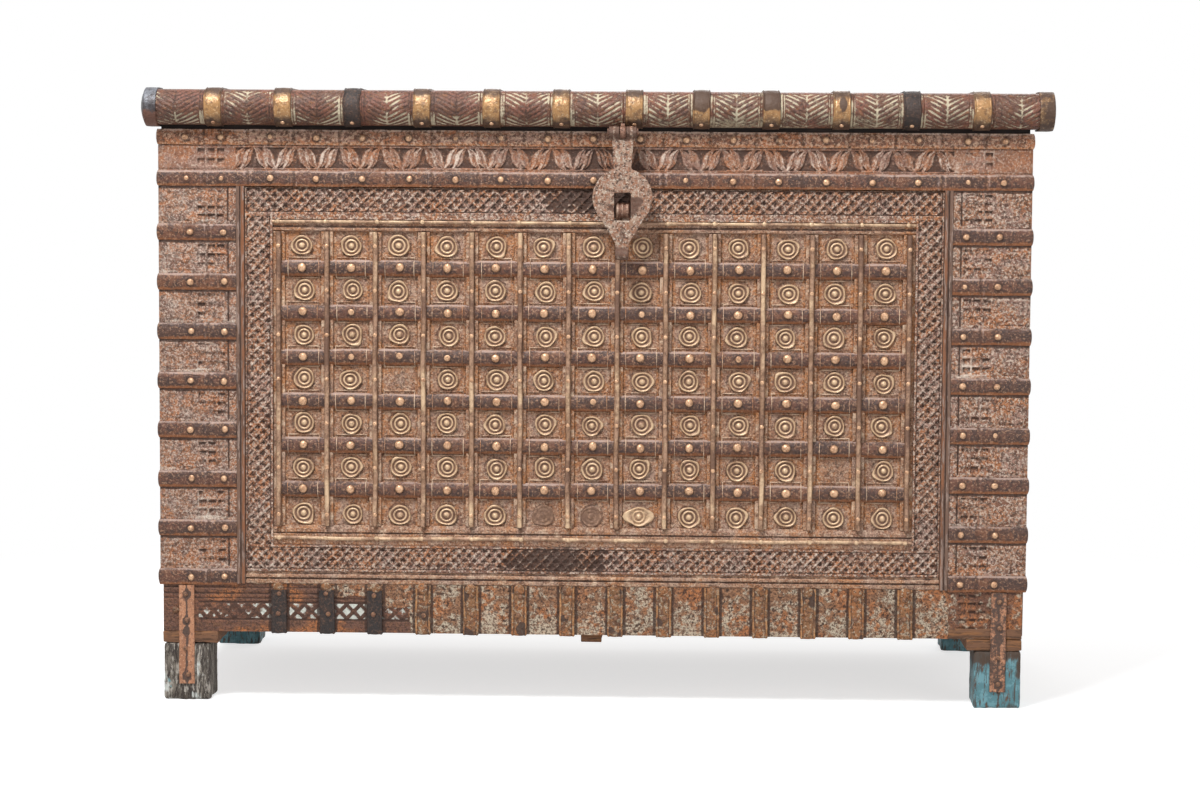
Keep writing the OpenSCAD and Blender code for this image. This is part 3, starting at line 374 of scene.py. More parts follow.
# Copper sheet strip: pink-orange where it is bare, brown black where it is stained or tarnished
copper = aged("stained_copper_strip", "#b27e5e", [
    ("patch", 18, 0.48, 0.57, "#9a6a4e", 0.8, 0.5, 0.2, ALONG_Z),
    ("patch", 5, 0.52, 0.60, "#c99d80", 0.6, 0.5, 0.3),
    ("dark", 5, 0.35, 0.6, "#46362f", 0.95, 0.65, 0.1),
    ("patch", 4, 0.54, 0.59, "#6b493a", 0.7, 0.6, 0.1), GRIME_AND_SHADE],
    rough=0.45, metal=0.3, relief=(5, EVEN, 2.0))
# Sheet brass hammered over the ribs and into rings: dull tan, pale gold where it is rubbed and where
# highlights are painted on raised rings and rod crests
brass = aged("rubbed_sheet_brass", "#a5826a", [
    ("patch", 30, 0.48, 0.57, "#8f6d52", 0.75, 0.5, 0.2),
    ("patch", 6, 0.51, 0.57, "#70533e", 0.75, 0.6, 0.1),
    ("dark", 6, 0.3, 0.75, "#674a3a", 0.9, 0.65),
    ("tone", 6, 0.3, 0.9, "#d4b592", 0.95, 0.38, 0.2)],
    rough=0.45, metal=0.2, relief=(5, EVEN, 1.5))
# Beaten brass of the lid's bands: bronze brown, with a gold highlight painted along the front of the nose at
# mid-height
band_brass = aged("hand_polished_band_brass", "#735538", [
    ("patch", 26, 0.47, 0.60, "#664a34", 0.75, 0.45, 0.2),
    ("tone", 14, 0.15, 1.0, "#a97f52", 0.9, 0.33, 0.3),
    ("patch", 9, 0.51, 0.60, "#5c402d", 0.6, 0.5, 0.1),
    ("patch", 4, 0.55, 0.60, "#d4b88f", 0.45, 0.4, 0.2),
    ("dark", 10, 0.3, 0.8, "#453024", 0.95, 0.6, 0.1)],
    rough=0.4, metal=0.2, relief=(8, EVEN, 2.0))
# Cast brass nail heads, worn smooth, with painted shade round their rims that leaves them pale on top
nail_brass = aged("cast_brass_nail_heads", "#d3a985", [
    ("patch", 9, 0.50, 0.58, "#a87c5c", 0.8, 0.4, 0.3),
    ("patch", 3, 0.54, 0.60, "#7a5641", 0.75, 0.5, 0.2),
    ("grime_and_shade", 3, 0.35, 0.9, "#60422f", 0.85, 0.6, 0.1)],
    rough=0.3, metal=0.3, relief=(3, EVEN, 0.8))
# The same heads low on the chest, rusted over
dull_nail = aged("rusted_nail_heads", "#7a5743", [
    ("patch", 6, 0.49, 0.57, "#a67c58", 0.8, 0.6, 0.2),
    ("patch", 3, 0.53, 0.58, "#4a342a", 0.8, 0.7, 0.1)],
    rough=0.6, metal=0.2, relief=(3, EVEN, 1.2))
# Hasp: a pitted forging under a chalky skin of pale scale, with rust freckles and brown patches
hasp_iron = aged("scaled_pitted_forging", "#9a7d6b", [
    ("patch", 40, 0.48, 0.58, "#8f6c56", 0.8, 0.8),
    ("patch", 14, 0.51, 0.58, "#b5a290", 0.75, 0.85),
    ("patch", 6, 0.51, 0.56, "#8f5c40", 0.75, 0.8),
    ("patch", 4, 0.55, 0.60, "#d0c6b8", 0.7, 0.85),
    ("patch", 4.5, 0.53, 0.57, "#3f281f", 0.85, 0.8),
    ("grime_and_shade", 9, 0.3, 0.7, "#573c2f", 0.9, 0.7, 0.1)],
    rough=0.75, metal=0.05, relief=(6, EVEN, 2.5))
# Staple and knuckles: the same forging rubbed bare, brown and slightly shiny, with pale highlights painted
# on the staple's flutes
worn_forging = aged("rubbed_brown_forging", "#704c3b", [
    ("patch", 9, 0.49, 0.57, "#8d6a57", 0.8, 0.5, 0.3, ALONG_Z),
    ("patch", 3, 0.52, 0.58, "#4a3229", 0.8, 0.55, 0.2),
    ("tone", 4, 0.3, 0.75, "#c0a692", 0.85, 0.45, 0.3)],
    rough=0.5, metal=0.3, relief=(3, EVEN, 1.5))
# Left leg: weathered acacia, silvered and cracked along the grain, with flakes of white and blue paint
leg_grey = aged("silvered_acacia_leg", "#787066", [
    ("patch", 20, 0.47, 0.56, "#4d453e", 0.85, 0.85, 0, ALONG_Z),
    ("patch", 5, 0.50, 0.56, "#b3aba1", 0.8, 0.9, 0, (1, 1, 4)),
    ("patch", 5, 0.50, 0.55, "#2a211d", 0.85, 0.85, 0, (1, 1, 5)),
    ("tone", 5, 0.33, 0.58, "#d0d3ce", 0.9, 0.75, 0, ALONG_Z),
    ("scale", 7, 0.4, 0.62, "#6c9ca1", 0.9, 0.7), GRIME_AND_SHADE],
    rough=0.8, relief=(4, ALONG_Z, 3.0))
# Other legs: the same wood under brushed turquoise oil paint, chipped to brown
leg_blue = aged("turquoise_painted_leg", "#5c473a", [
    ("patch", 18, 0.43, 0.47, "#547f87", 1.0, 0.6, 0, (1, 1, 3)),
    ("patch", 26, 0.49, 0.58, "#72a0aa", 0.75, 0.5),
    ("patch", 5, 0.53, 0.58, "#4b3a30", 0.85, 0.8, 0, ALONG_Z),
    ("grime_and_shade", 12, 0.3, 0.65, "#4a3a2f", 0.95, 0.8, 0, ALONG_Z)],
    rough=0.65, relief=(4, ALONG_Z, 2.0))
# Bearers and packing strip: bare brown softwood
bare_wood = aged("bare_packing_wood", "#74513a", [
    ("patch", 22, 0.47, 0.57, "#8f6038", 0.75, 0.8, 0, ALONG_X),
    ("patch", 4, 0.51, 0.57, "#4c3527", 0.8, 0.85, 0, ALONG_X), GRIME_AND_SHADE],
    rough=0.8, relief=(3, ALONG_X, 2.0))


# Building


def new_mesh(name, bm):
    mesh = bpy.data.meshes.new(name)
    bm.to_mesh(mesh)
    bm.free()
    return mesh


def new_object(name, data):
    made = bpy.data.objects.new(name, data)
    bpy.context.scene.collection.objects.link(made)
    return made


def place(bm, name, body, slot, finish, stands_for=(), where=BODY, crease=38):
    """Makes the mesh a piece in the frame, with its body, its finish and the nodes it replaces; slot is not
    used.
    """
    bmesh.ops.transform(bm, matrix=where, verts=bm.verts)
    bmesh.ops.recalc_face_normals(bm, faces=bm.faces)
    mesh = new_mesh(name, bm)
    mesh.polygons.foreach_set("use_smooth", [True] * len(mesh.polygons))
    mesh.set_sharp_from_angle(angle=math.radians(crease))
    mesh.materials.append(finish)
    made = new_object(name, mesh)
    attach(made, body)
    if stands_for:
        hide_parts(*stands_for)


def value_layers(bm, names):
    """The named values on the mesh's vertices, which are made where it lacks them."""
    return [bm.verts.layers.float.get(n) or bm.verts.layers.float.new(n) for n in names]


def give(v, layers, values):
    for layer, value in zip(layers, values):
        v[layer] = value


def grid(bm, columns, rows):
    """A flat grid, as a list of its new vertices with their column and row numbers."""
    made = bmesh.ops.create_grid(bm, x_segments=columns, y_segments=rows, size=0.5)["verts"]
    return [(v, round((v.co.x + 0.5) * columns), round((v.co.y + 0.5) * rows)) for v in made]


def carved_board(bm, low, high, step, carve, names=("tone", "grime_and_shade")):
    """A closed board whose front is cut: carve(x, z) gives the depth and the values on the vertices."""
    layers = value_layers(bm, names)
    columns = max(2, round((high[0] - low[0]) / step))
    rows = max(2, round((high[2] - low[2]) / step))
    made = grid(bm, columns, rows)
    for v, i, j in made:
        x = low[0] + (high[0] - low[0]) * i / columns
        z = low[2] + (high[2] - low[2]) * j / rows
        depth, *values = carve(x, z)
        v.co = (x, low[1] + depth, z)
        give(v, layers, values)
    new = {v for v, i, j in made}
    rim = [e for e in bm.edges if e.is_boundary and e.verts[0] in new]
    drawn = bmesh.ops.extrude_edge_only(bm, edges=rim)["geom"]
    for g in drawn:
        if isinstance(g, bmesh.types.BMVert):
            g.co.y = high[1]
    bmesh.ops.contextual_create(bm, geom=[g for g in drawn if isinstance(g, bmesh.types.BMEdge)])


def strip(bm, path, section, shape, names):
    """A closed strip along path, a list of (point, way out, way across), with section, a list of
    (distance out, distance across). shape(i, j, point) gives an extra rise and the vertex values."""
    layers = value_layers(bm, names)
    made = grid(bm, len(path) - 1, len(section) - 1)
    sides, new = set(), set()
    for v, i, j in made:
        point, out, across = path[i]
        rise, aside = section[j]
        spot = Vector(point) + Vector(out) * rise + Vector(across) * aside
        extra, *values = shape(i, j, spot)
        give(v, layers, values)
        v.co = spot + Vector(out) * extra
        new.add(v)
        if j in (0, len(section) - 1):
            sides.add(v)
    bounds = [e for e in {e for v in sides for e in v.link_edges} if e.is_boundary]
    bmesh.ops.bridge_loops(bm, edges=[e for e in bounds if e.verts[0] in sides and e.verts[1] in sides])
    rest = [e for e in {e for v in new for e in v.link_edges} if e.is_boundary]
    bmesh.ops.holes_fill(bm, edges=rest, sides=0)


def straight(x0, x1, step, y, z):
    """A path along X whose way out is the front."""
    count = max(1, round(abs(x1 - x0) / step))
    return [((x0 + (x1 - x0) * i / count, y, z), (0, -1, 0), (0, 0, 1)) for i in range(count + 1)]


def upright(x, z0, z1, step, y):
    """A path up Z whose way out is the front."""
    count = max(1, round((z1 - z0) / step))
    return [((x, y, z0 + (z1 - z0) * i / count), (0, -1, 0), (1, 0, 0)) for i in range(count + 1)]


def half_round(r):
    """A rod's section: half a circle in eight steps, flat side down."""
    return [(r * math.sin(math.pi * k / 8), -r * math.cos(math.pi * k / 8)) for k in range(9)]


def cushion(high, rise, foot):
    """A strap's section: domed in twelve steps, with low square edges."""
    rows = [(0, -high / 2)]
    for k in range(13):
        t = k / 6 - 1
        rows.append((foot + (rise - foot) * (1 - abs(t) ** 2.6), t * high / 2))
    return rows + [(0, high / 2)]


def round_edges(bm, edges, radius):
    bmesh.ops.bevel(bm, geom=edges, offset=radius, segments=2, profile=0.5, affect="EDGES",
                    clamp_overlap=True, material=-1)


def worn_block(bm, low, high, step, wear, seed, bevel, paint=None, names=("tone", "grime_and_shade")):
    """A block with rounded edges, cut fine enough to be dented a little all over."""
    fine = bmesh.new()
    size = Vector(high) - Vector(low)
    middle = (Vector(high) + Vector(low)) / 2
    bmesh.ops.create_cube(fine, size=1, matrix=Matrix.Translation(middle) @ Matrix.Diagonal((*size, 1)))
    round_edges(fine, fine.edges[:], bevel)
    for axis in range(3):
        cuts = int(size[axis] / step)
        normal = Vector([1 if k == axis else 0 for k in range(3)])
        for k in range(1, cuts):
            bmesh.ops.bisect_plane(fine, geom=fine.verts[:] + fine.edges[:] + fine.faces[:],
                                   plane_co=Vector(low) + normal * size[axis] * k / cuts,
                                   plane_no=normal)
    layers = value_layers(fine, names)
    for v in fine.verts:
        rub = speckle(*v.co, 30, seed) + 0.6 * speckle(*v.co, 9, seed + 1)
        outer = [abs(v.co[k] - middle[k]) > size[k] / 2 - bevel * 1.2 for k in range(3)]
        inward = Vector([math.copysign(1, middle[k] - v.co[k]) if outer[k] else 0 for k in range(3)])
        on_edge = sum(outer) > 1
        values = paint(v.co, rub) if paint else (0.35 * rub + (0.2 if on_edge else 0), 0.5 * max(0, -rub))
        give(v, layers, values)
        v.co += inward * wear * max(0, 0.35 + rub) * (1.6 if on_edge else 0.7)
    block = new_mesh("block", fine)
    bm.from_mesh(block)
    bpy.data.meshes.remove(block)


# Carving


def leaf_scroll(x, z):
    """Plump leaves that rise in pairs, each with a painted highlight on its left face and a painted shadow
    along its right edge, and between them veined ones that fall.
    """
    v = (z - LEAF_FOOT) / LEAF_HIGH
    if not 0.02 < v < 0.98:
        return 0.4, 0.1, 0.15
    turn = (x - LEAF_PITCH / 2) % LEAF_PITCH
    rising = turn < LEAF_PITCH / 2
    u = turn if rising else LEAF_PITCH - turn
    s = 2 * v - 1
    lean = LEAF_LEAN * (0.5 + 0.17 * s + 0.33 * s ** 3)
    worn = 0.9 + 0.35 * speckle(x, 0, 0, 120, 8)
    cut, pale, dark = 3.0, -0.25, 0.62 + 0.2 * s * s
    for start in LEAF_STARTS:
        away = u - start - lean
        across = away / max(LEAF_HALF * max(0.0, 1 - s * s) ** 0.5, 0.01)
        edge = abs(across)
        if edge < 1 and rising:
            vein = line(away - 0.8, 1.6)
            # A rising leaf: pale on its left face as painted highlight, dark along its right edge as painted
            # shadow
            left, right = line(across + 0.45, 0.7), line(across - 0.6, 0.4)
            cut = 0.1 + 1.8 * edge ** 3 + 0.8 * vein
            pale = (0.5 * left + 0.3 * right) * worn - 0.08
            dark = 0.8 * ease(0.65, 0.95, across) + 0.6 * vein
        elif edge < 1:
            vein, rim = line(away, 1.6), line(edge - 0.68, 0.36)
            cut = 1.0 - rim + 1.6 * edge ** 6 + 0.9 * vein
            pale = (0.45 * rim - 0.03) * (1 - vein) * worn
            dark = 0.6 * edge ** 6 + 0.55 * vein
    return cut, pale, dark


def windows(x, z, low, high):
    """Three columns of small sunk windows between raised bars, painted pale on the bars as highlight and
    dark under each bar as shadow, worn away in places.
    """
    u = abs(x) - WINDOWS_IN
    if not 0 < u < WINDOWS_WIDE or not low < z < high:
        return 0, 0, 0
    across, up = WINDOW_ACROSS, (high - low) / max(1, round((high - low) / WINDOW_UP))
    a, b = u % across, (z - low) % up
    bar = max(line(min(a, across - a), 2.8), line(min(b, up - b), 3.2))
    left = 0.45 + 0.55 * ease(-0.3, 0.2, speckle(x, 7, z, 30, 6))
    # shade is a painted shadow under each bar and along one side of each window; the bars are painted pale
    # as highlights
    shade = ease(up * 0.3, up * 0.8, b) + 0.4 * ease(across * 0.6, across * 0.9, a)
    cut = (2.3 + 0.6 * shade) * (1 - bar) * left
    pale = (0.24 * bar - 0.1 * (1 - bar)) * left
    dark = (0.15 + 0.75 * shade) * (1 - bar) * left * (0.85 + 0.6 * speckle(x, 4, z, 9))
    return cut, pale, dark


def stile_carving(x, z):
    """Windows between each two corner straps, a line beside them, a painted shadow under each strap and a
    painted highlight just over each.
    """
    rough = unevenness(x, 0, z, 14)
    k = math.floor((z - CORNER_LOW) / CORNER_PITCH)
    bottom = corner_z(k) + CORNER_HIGH / 2 if k >= 0 else OPENING
    top = min(corner_z(k + 1) - CORNER_HIGH / 2 if k < CORNER_STRAPS - 1 else FRIEZE, FRIEZE)
    low, high = bottom + 5, top - 5
    cut, pale, dark = windows(x, z, low, high)
    side = abs(x)
    groove = line(side - WINDOWS_IN + 3.5, 2.4) * (1 if low - 2 < z < high + 2 else 0)
    scribed = max(line(z - low, 1.6), line(z - high, 1.6)) if 664 < side < 708 else 0
    cut, dark = max(cut, 2.4 * groove, scribed), max(dark, 0.9 * groove, 0.45 * scribed)
    # Painted shadow just under each strap, and a painted highlight just over each
    dark = max(dark, 0.85 * line(z - top, 6.5), 0.35 * line(z - bottom, 3))
    pale += 0.25 * line(z - bottom - 2.5, 5)
    edge = ease(HALF - 7, HALF, side)
    lime = 0.7 * speckle(x, 3, z, 55, 9) - 0.08 - 0.08 * ease(600, 450, z)
    return 0.6 + cut + 0.7 * rough + 2.2 * edge, pale + 0.3 * rough + lime, dark


def frieze_carving(x, z):
    """Leaves between the stiles, windows over them, and a groove along both edges."""
    rough = unevenness(x, 1, z)
    if abs(x) < STILE_IN:
        cut, pale, dark = leaf_scroll(x + 3 * speckle(x, 0, 0, 90, 4), z + 1.2 * speckle(x, 1, 0, 60, 5))
    else:
        cut, pale, dark = windows(x, z, 888, 921)
    for groove in (884, 924):
        near = line(z - groove, 2.2)
        cut, dark = max(cut, 1.3 * near), max(dark, 0.45 * near)
    edge = ease(HALF - 6, HALF, abs(x))
    stain = 0.3 * line(x - 10, 55)
    lime = 0.55 * speckle(x, 3, z, 60, 9) * (1 if abs(x) > STILE_IN else 0.5)
    cut *= 0.9 + 0.25 * speckle(x, 2, z, 40)
    return 0.5 + cut + 0.4 * rough + 2 * edge, pale + 0.3 * rough + lime, dark + stain


def lattice(x, z, p):
    """Thin slanting ridges both ways, the rising ones stronger, each rising one with a painted shadow beside
    it, and a drilled dot in each diamond.
    """
    a, b = (x - z) % p, (x + z) % p
    rising = line(min(a, p - a) / math.sqrt(2), 2.5)
    falling = line(min(b, p - b) / math.sqrt(2), 2.3)
    ridge = max(rising, 0.85 * falling)
    # Painted shadow along the lower side of each rising ridge
    ridge_shadow = line((a - 3.9) / math.sqrt(2), 1.9)
    dot = line(math.hypot(a - p / 2, b - p / 2) / math.sqrt(2), 2.4) * ease(-0.35, 0.1, speckle(x, 2, z, 14))
    cut = 2.8 * (1 - ridge) + 2.4 * dot
    pale = 0.42 * rising + 0.32 * falling - 0.12
    dark = (0.36 + 0.35 * ridge_shadow) * (1 - ridge) + 0.9 * dot
    return cut, pale, dark


def lattice_carving(x, z, low, high, pitch, stain):
    """A lattice board, carved between the corners low and high, with a burnt stain of (x, z, half width)
    and a painted black shadow behind the hasp's slot."""
    rough = unevenness(x, 5, z)
    cut, pale, dark = 0, 0.0, 0.1
    if low[0] < x < high[0] and low[1] < z < high[1]:
        cut, pale, dark = lattice(x + 2 * speckle(x, 6, z, 50, 1), z, pitch)
        cut *= 0.8 + 0.5 * speckle(x, 6, z, 60)
        pale *= 0.75 + 0.7 * speckle(x, 6, z, 70, 3)
        if min(x - low[0], high[0] - x, z - low[1], high[1] - z) < 1.6:
            cut, pale, dark = 1.8, 0, 0.7
    # Behind the hasp's slot the board is painted black as shadow; elsewhere along its top it is painted a
    # little darker
    if z > LATTICE_HIGH - 3:
        dark, pale = (1.3, -0.3) if abs(x - HASP_X) < 13 else (dark + 0.1, pale - 0.18)
    blot = ease(1.2, 0.4, math.hypot((x - stain[0]) / stain[2], (z - stain[1]) / 30)
                + 0.5 * speckle(x, 9, z, 30) + 0.5 * speckle(x, 9, z, 9)) if stain else 0
    return 0.5 + max(cut, 0) + 0.4 * rough, pale + 0.35 * rough - 0.8 * blot, dark + 0.6 * blot


def border():
    """The four carved boards round the panel, each with its own pitch, and the fillet over the field."""
    high = LATTICE_HIGH + LATTICE_LAP
    outer, inner = LATTICE_OUT - 2, FIELD_HALF + 4
    for name, low, top, cut_low, cut_high, pitch, stain in (
            ("upper", (-LATTICE_OUT, high), (LATTICE_OUT, LATTICE_TOP),
             (-outer, LATTICE_HIGH + 12), (outer, LATTICE_TOP - 1), 18.1, (5, 838, 85)),
            ("lower", (-LATTICE_OUT, LATTICE_LOW), (LATTICE_OUT, SILL),
             (-outer, LATTICE_LOW + 4), (outer, SILL - 4), 16.9, (-65, 240, 100)),
            ("left", (-LATTICE_OUT, SILL), (-FIELD_HALF, high),
             (-outer, SILL - 9), (-inner, high + 9), 17.6, None),
            ("right", (FIELD_HALF, SILL), (LATTICE_OUT, high),
             (inner, SILL - 9), (outer, high + 9), 17.6, None)):
        bm = bmesh.new()
        carved_board(bm, (low[0], LATTICE_FACE, low[1]), (top[0], PANEL_FACE, top[1]), 1.45,
                     lambda x, z: lattice_carving(x, z, cut_low, cut_high, pitch, stain))
        if name == "upper":
            carved_board(bm, (-FIELD_HALF, LATTICE_FACE, LATTICE_HIGH), (FIELD_HALF, PANEL_FACE, high),
                         2.5, lambda x, z: (0.5 + 0.4 * speckle(x, 5, z, 12), -0.1, 0.1))
        place(bm, name + "_lattice_carving", "chest", "carved_wood", carved_wood,
              (name + "_lattice_board",))


def frame_front():
    """The stiles and the frieze rail, with their windows and leaves, and the beads beside the stiles."""
    for side, name in ((-1, "left"), (1, "right")):
        bm = bmesh.new()
        low, high = sorted((side * HALF, side * STILE_IN))
        carved_board(bm, (low, 0, OPENING), (high, FRAME_BACK, FRIEZE), 1.7, stile_carving)
        finish = stile_wood if side < 0 else carved_wood
        place(bm, name + "_carved_stile", "chest", "carved_wood", finish, (name + "_stile",))
    bm = bmesh.new()
    carved_board(bm, (-HALF, 0, FRIEZE), (HALF, FRAME_BACK, TOP), 1.7, frieze_carving)
    place(bm, "leaf_frieze", "chest", "carved_wood", frieze_wood, ("frieze_rail",))
    bm = bmesh.new()
    for side in (-1, 1):
        section = [(0, -7.5), (12.2, -7.4), (13.4, -6.8), (13.6, -2.2), (12.2, -1.2), (12.2, -0.4),
                   (13.6, 0.6), (14.8, 2.2), (15, 3.8), (14.6, 5.6), (13.2, 7), (0, 7.5)]
        section = [(rise, -side * across) for rise, across in section]

        def rubbed(i, j, spot):
            rub = speckle(*spot, 22, 3) + 0.4 * speckle(spot.x, spot.y, spot.z / 4, 4, 4)
            rust = (0.7 if 6 < j < 11 else 0.15) + 0.3 * rub
            grime_and_shade = (0.9 if j in (1, 4, 5, 10) else 0) - 0.3 * rub
            return -0.5 * abs(rub), rust, grime_and_shade

        strip(bm, upright(side * (LATTICE_OUT + 7.5), OPENING, FRIEZE, 5, PANEL_FACE), section, rubbed,
              names=("rust", "grime_and_shade"))
    place(bm, "varnished_beads", "chest", "dark_wood", bead_wood, ("side_beads",), crease=30)


def panel():
    """The panel's face between ribs and straps, with painted shade along everything that stands on it."""
    centres = [(column_x(i), boss_z(j)) for i in range(COLUMNS) for j in range(STRAP_ROWS + 1)]

    def field(x, z):
        rough = unevenness(x, 11, z, 13)
        u = (x + RIB_REACH) % RIB_PITCH
        rib = min(u, RIB_PITCH - u)
        v = (z - FIELD_LOW) % ROW_PITCH
        # Painted shade along the ribs, the straps and round each boss; a lost boss leaves a dark patch
        grime_and_shade = 0.55 * line(rib - 10, 4)
        grime_and_shade = max(grime_and_shade, 0.4 * line(v - FIELD_STEP, 4), 0.3 * line(v, 4))
        i = min(max(int((x + RIB_REACH) // RIB_PITCH), 0), COLUMNS - 1)
        j = min(max(int((z - FIELD_LOW) // ROW_PITCH), 0), STRAP_ROWS)
        cx, cz = centres[i * (STRAP_ROWS + 1) + j]
        ring = math.hypot(x - cx, z - cz)
        grime_and_shade = max(grime_and_shade, 0.4 * ease(22, 15, ring) if (i, j) in LOST else 0.55 * line(ring - 18.5, 3.5))
        rust = 0.55 * ease(22, 27, abs(x - cx)) + 0.35 * speckle(x, 12, z, 60) + 0.15 * ease(-200, 500, x)
        return 0.3 + 0.5 * abs(rough), 0.25 * rough, grime_and_shade, rust

    bm = bmesh.new()
    carved_board(bm, (-STILE_IN, PANEL_FACE, OPENING), (STILE_IN, FRAME_BACK, FRIEZE), 3.2, field,
                 names=WEAR)
    place(bm, "panel_face", "chest", "panel_wood", panel_wood, ("front_panel",))


def mouldings():
    """The dark head moulding, the sill and the foot moulding, each with its own profile."""
    bm = bmesh.new()
    head = [(0, 0), (3, 0.5), (5.5, 2), (6, 5), (4, 6.5), (3.6, 9), (5, 11), (6, 13), (6, 18), (4, 20),
            (0, 20)]
    sill = [(0, 0), (5.5, 0.5), (6, 2), (6, 18), (4.6, 19), (4.6, 21), (6, 22), (6, 27), (4, 29), (3, 33),
            (0, 33)]
    foot = [(0, 0), (11, 0.5), (12, 2), (12, 7), (10, 8), (10, 10), (12, 11.5), (12, 14), (10, 15.5),
            (8, 17), (8, 20), (6, 21), (0, 21)]
    for x, z, section, pale, hollows in ((FIELD_HALF, FIELD_TOP, head, 0.0, (4, 5)),
                                         (FIELD_HALF, SILL, sill, 0.12, (4, 5)),
                                         (LATTICE_OUT, OPENING, foot, 0.2, (4, 5, 9))):
        def rubbed(i, j, spot):
            rub = speckle(*spot, 14, 3) + 0.5 * speckle(*spot, 4, 4)
            grime_and_shade = (0.75 if j in hollows else 0) - 0.4 * rub
            return -0.6 * abs(rub), pale + 0.5 * rub, grime_and_shade, 0.5 * speckle(*spot, 70, 6)

        strip(bm, straight(-x, x, 4, PANEL_FACE, z), section, rubbed, names=WEAR)
    place(bm, "panel_moulding_runs", "chest", "panel_wood", panel_wood, ("panel_mouldings",), crease=30)


# Straps and nails


def banded(bm, path, high, rise, foot, seed, ticks=(), nails=()):
    """An iron strap along path: domed, painted pale along its upper edge as highlight and rusty along its
    lower one, with a grooved joint at each tick along X and painted shade round each nail."""
    section = cushion(high, rise, foot)
    last = len(section) - 1

    def shape(i, j, spot):
        dent = speckle(*spot, 18, seed) + 0.4 * speckle(*spot, 5, seed + 1)
        t = section[j][1] / (high / 2)
        wave = 0.8 * speckle(spot.x, spot.y, 0, 34, seed + 2)
        tick = max([line(spot.x - x, 5) for x in ticks if abs(spot.x - x) < 6], default=0)
        lip = max([line(abs(spot.x - x) - 5, 2.4) for x in ticks if abs(spot.x - x) < 9], default=0)
        spot.z += wave * (1 if abs(t) > 0.9 else 0.3)
        more = (0.4 * dent - 0.4 - 1.0 * tick) if 0 < j < last else 0
        # Painted highlight along the upper edge, and painted shade round each nail
        upper = ease(0.6, 0.92, t) * (0.75 + 0.6 * speckle(*spot, 60, seed + 5))
        nail_shade = max([line(math.hypot(spot.x - x, section[j][1]) - 7, 4) for x in nails
                    if abs(spot.x - x) < 12], default=0)
        tone = upper + 0.25 * dent + 0.4 * lip - 0.5 * nail_shade
        rust = ease(0.4, 0.9, -t) * 0.8 + 0.3 * dent
        return more, tone, max(0.5 * tick, 0.55 * nail_shade), rust

    strip(bm, path, section, shape, names=WEAR)


def corner_path(side, inner, z, step=3.0):
    """From inner out to the corner, round it and back along the side."""
    path = straight(side * inner, side * (HALF - 1), step, 0, z)
    for k in range(1, 4):
        turn = math.pi / 2 * k / 4
        path.append(((side * HALF, 0, z), (side * math.sin(turn), -math.cos(turn), 0), (0, 0, 1)))
    count = round(RETURN / 6)
    path += [((side * HALF, 1 + (RETURN - 1) * k / count, z), (side, 0, 0), (0, 0, 1))
             for k in range(count + 1)]
    return path


def corner_straps():
    """Iron straps up both front corners, and fewer of them up the rear ones."""
    for side, name in ((-1, "left"), (1, "right")):
        bm = bmesh.new()
        for k in range(CORNER_STRAPS):
            path = corner_path(side, STILE_IN, corner_z(k))
            banded(bm, path, CORNER_HIGH, 3.4, 0.8, 11 * k + side, (side * CORNER_TICK,),
                   [side * (HALF - inset) for inset in CORNER_NAILS])
        place(bm, name + "_corner_ironwork", "chest", "iron", iron, (name + "_corner_straps",))
    bm = bmesh.new()
    for side in (-1, 1):
        for k in range(REAR_STRAPS):
            z = rear_corner_z(k)
            path = [((p[0], BODY_DEEP - p[1], z), (o[0], -o[1], 0), a)
                    for p, o, a in corner_path(side, HALF - RETURN, z, step=6)]
            banded(bm, path, CORNER_HIGH, 3.2, 0.8, 5 * k + 3 * side)
    place(bm, "rear_corner_ironwork", "chest", "iron", iron, ("rear_corner_straps",))


def frieze_straps():
    """Two long straps over the frieze, from side to side, with a joint between each two nails."""
    ticks = [side * (FRIEZE_PITCH / 2 + FRIEZE_PITCH * k) for k in range(8) for side in (-1, 1)]
    ticks += [-642, 642]
    # The upper strap takes a lighter copy of the iron, as painted light against the lid's shade
    for name, z, seed, finish in (("lower_frieze_strap", FRIEZE_STRAP_LOW, 2, iron),
                                  ("upper_frieze_strap", FRIEZE_STRAP_TOP, 5, frieze_iron_painted_lighter)):
        path = corner_path(-1, 0, z, step=2.4)[::-1] + corner_path(1, 0, z, step=2.4)[1:]
        bm = bmesh.new()
        banded(bm, path, FRIEZE_STRAP_HIGH, 3.2, 0.9, seed, ticks, frieze_nail_places())
        place(bm, name + "_iron", "chest", "iron", finish, (name,))


def dome(bm, where, out, r, h, rng, around=12):
    """A domed nail head: a flattened ball, a little askew, whose back half is in the wood."""
    turn = Vector(out).to_track_quat("Z", "Y").to_matrix().to_4x4()
    tilt = Matrix.Rotation(rng.uniform(-0.16, 0.16), 4, "X") @ Matrix.Rotation(
        rng.uniform(-0.16, 0.16), 4, "Y")
    shape = Matrix.Diagonal((r * rng.uniform(0.9, 1.05), r * rng.uniform(0.9, 1.05), h, 1))
    return bmesh.ops.create_uvsphere(bm, u_segments=around, v_segments=8, radius=1,
                                     matrix=Matrix.Translation(where) @ turn @ tilt @ shape)["verts"]


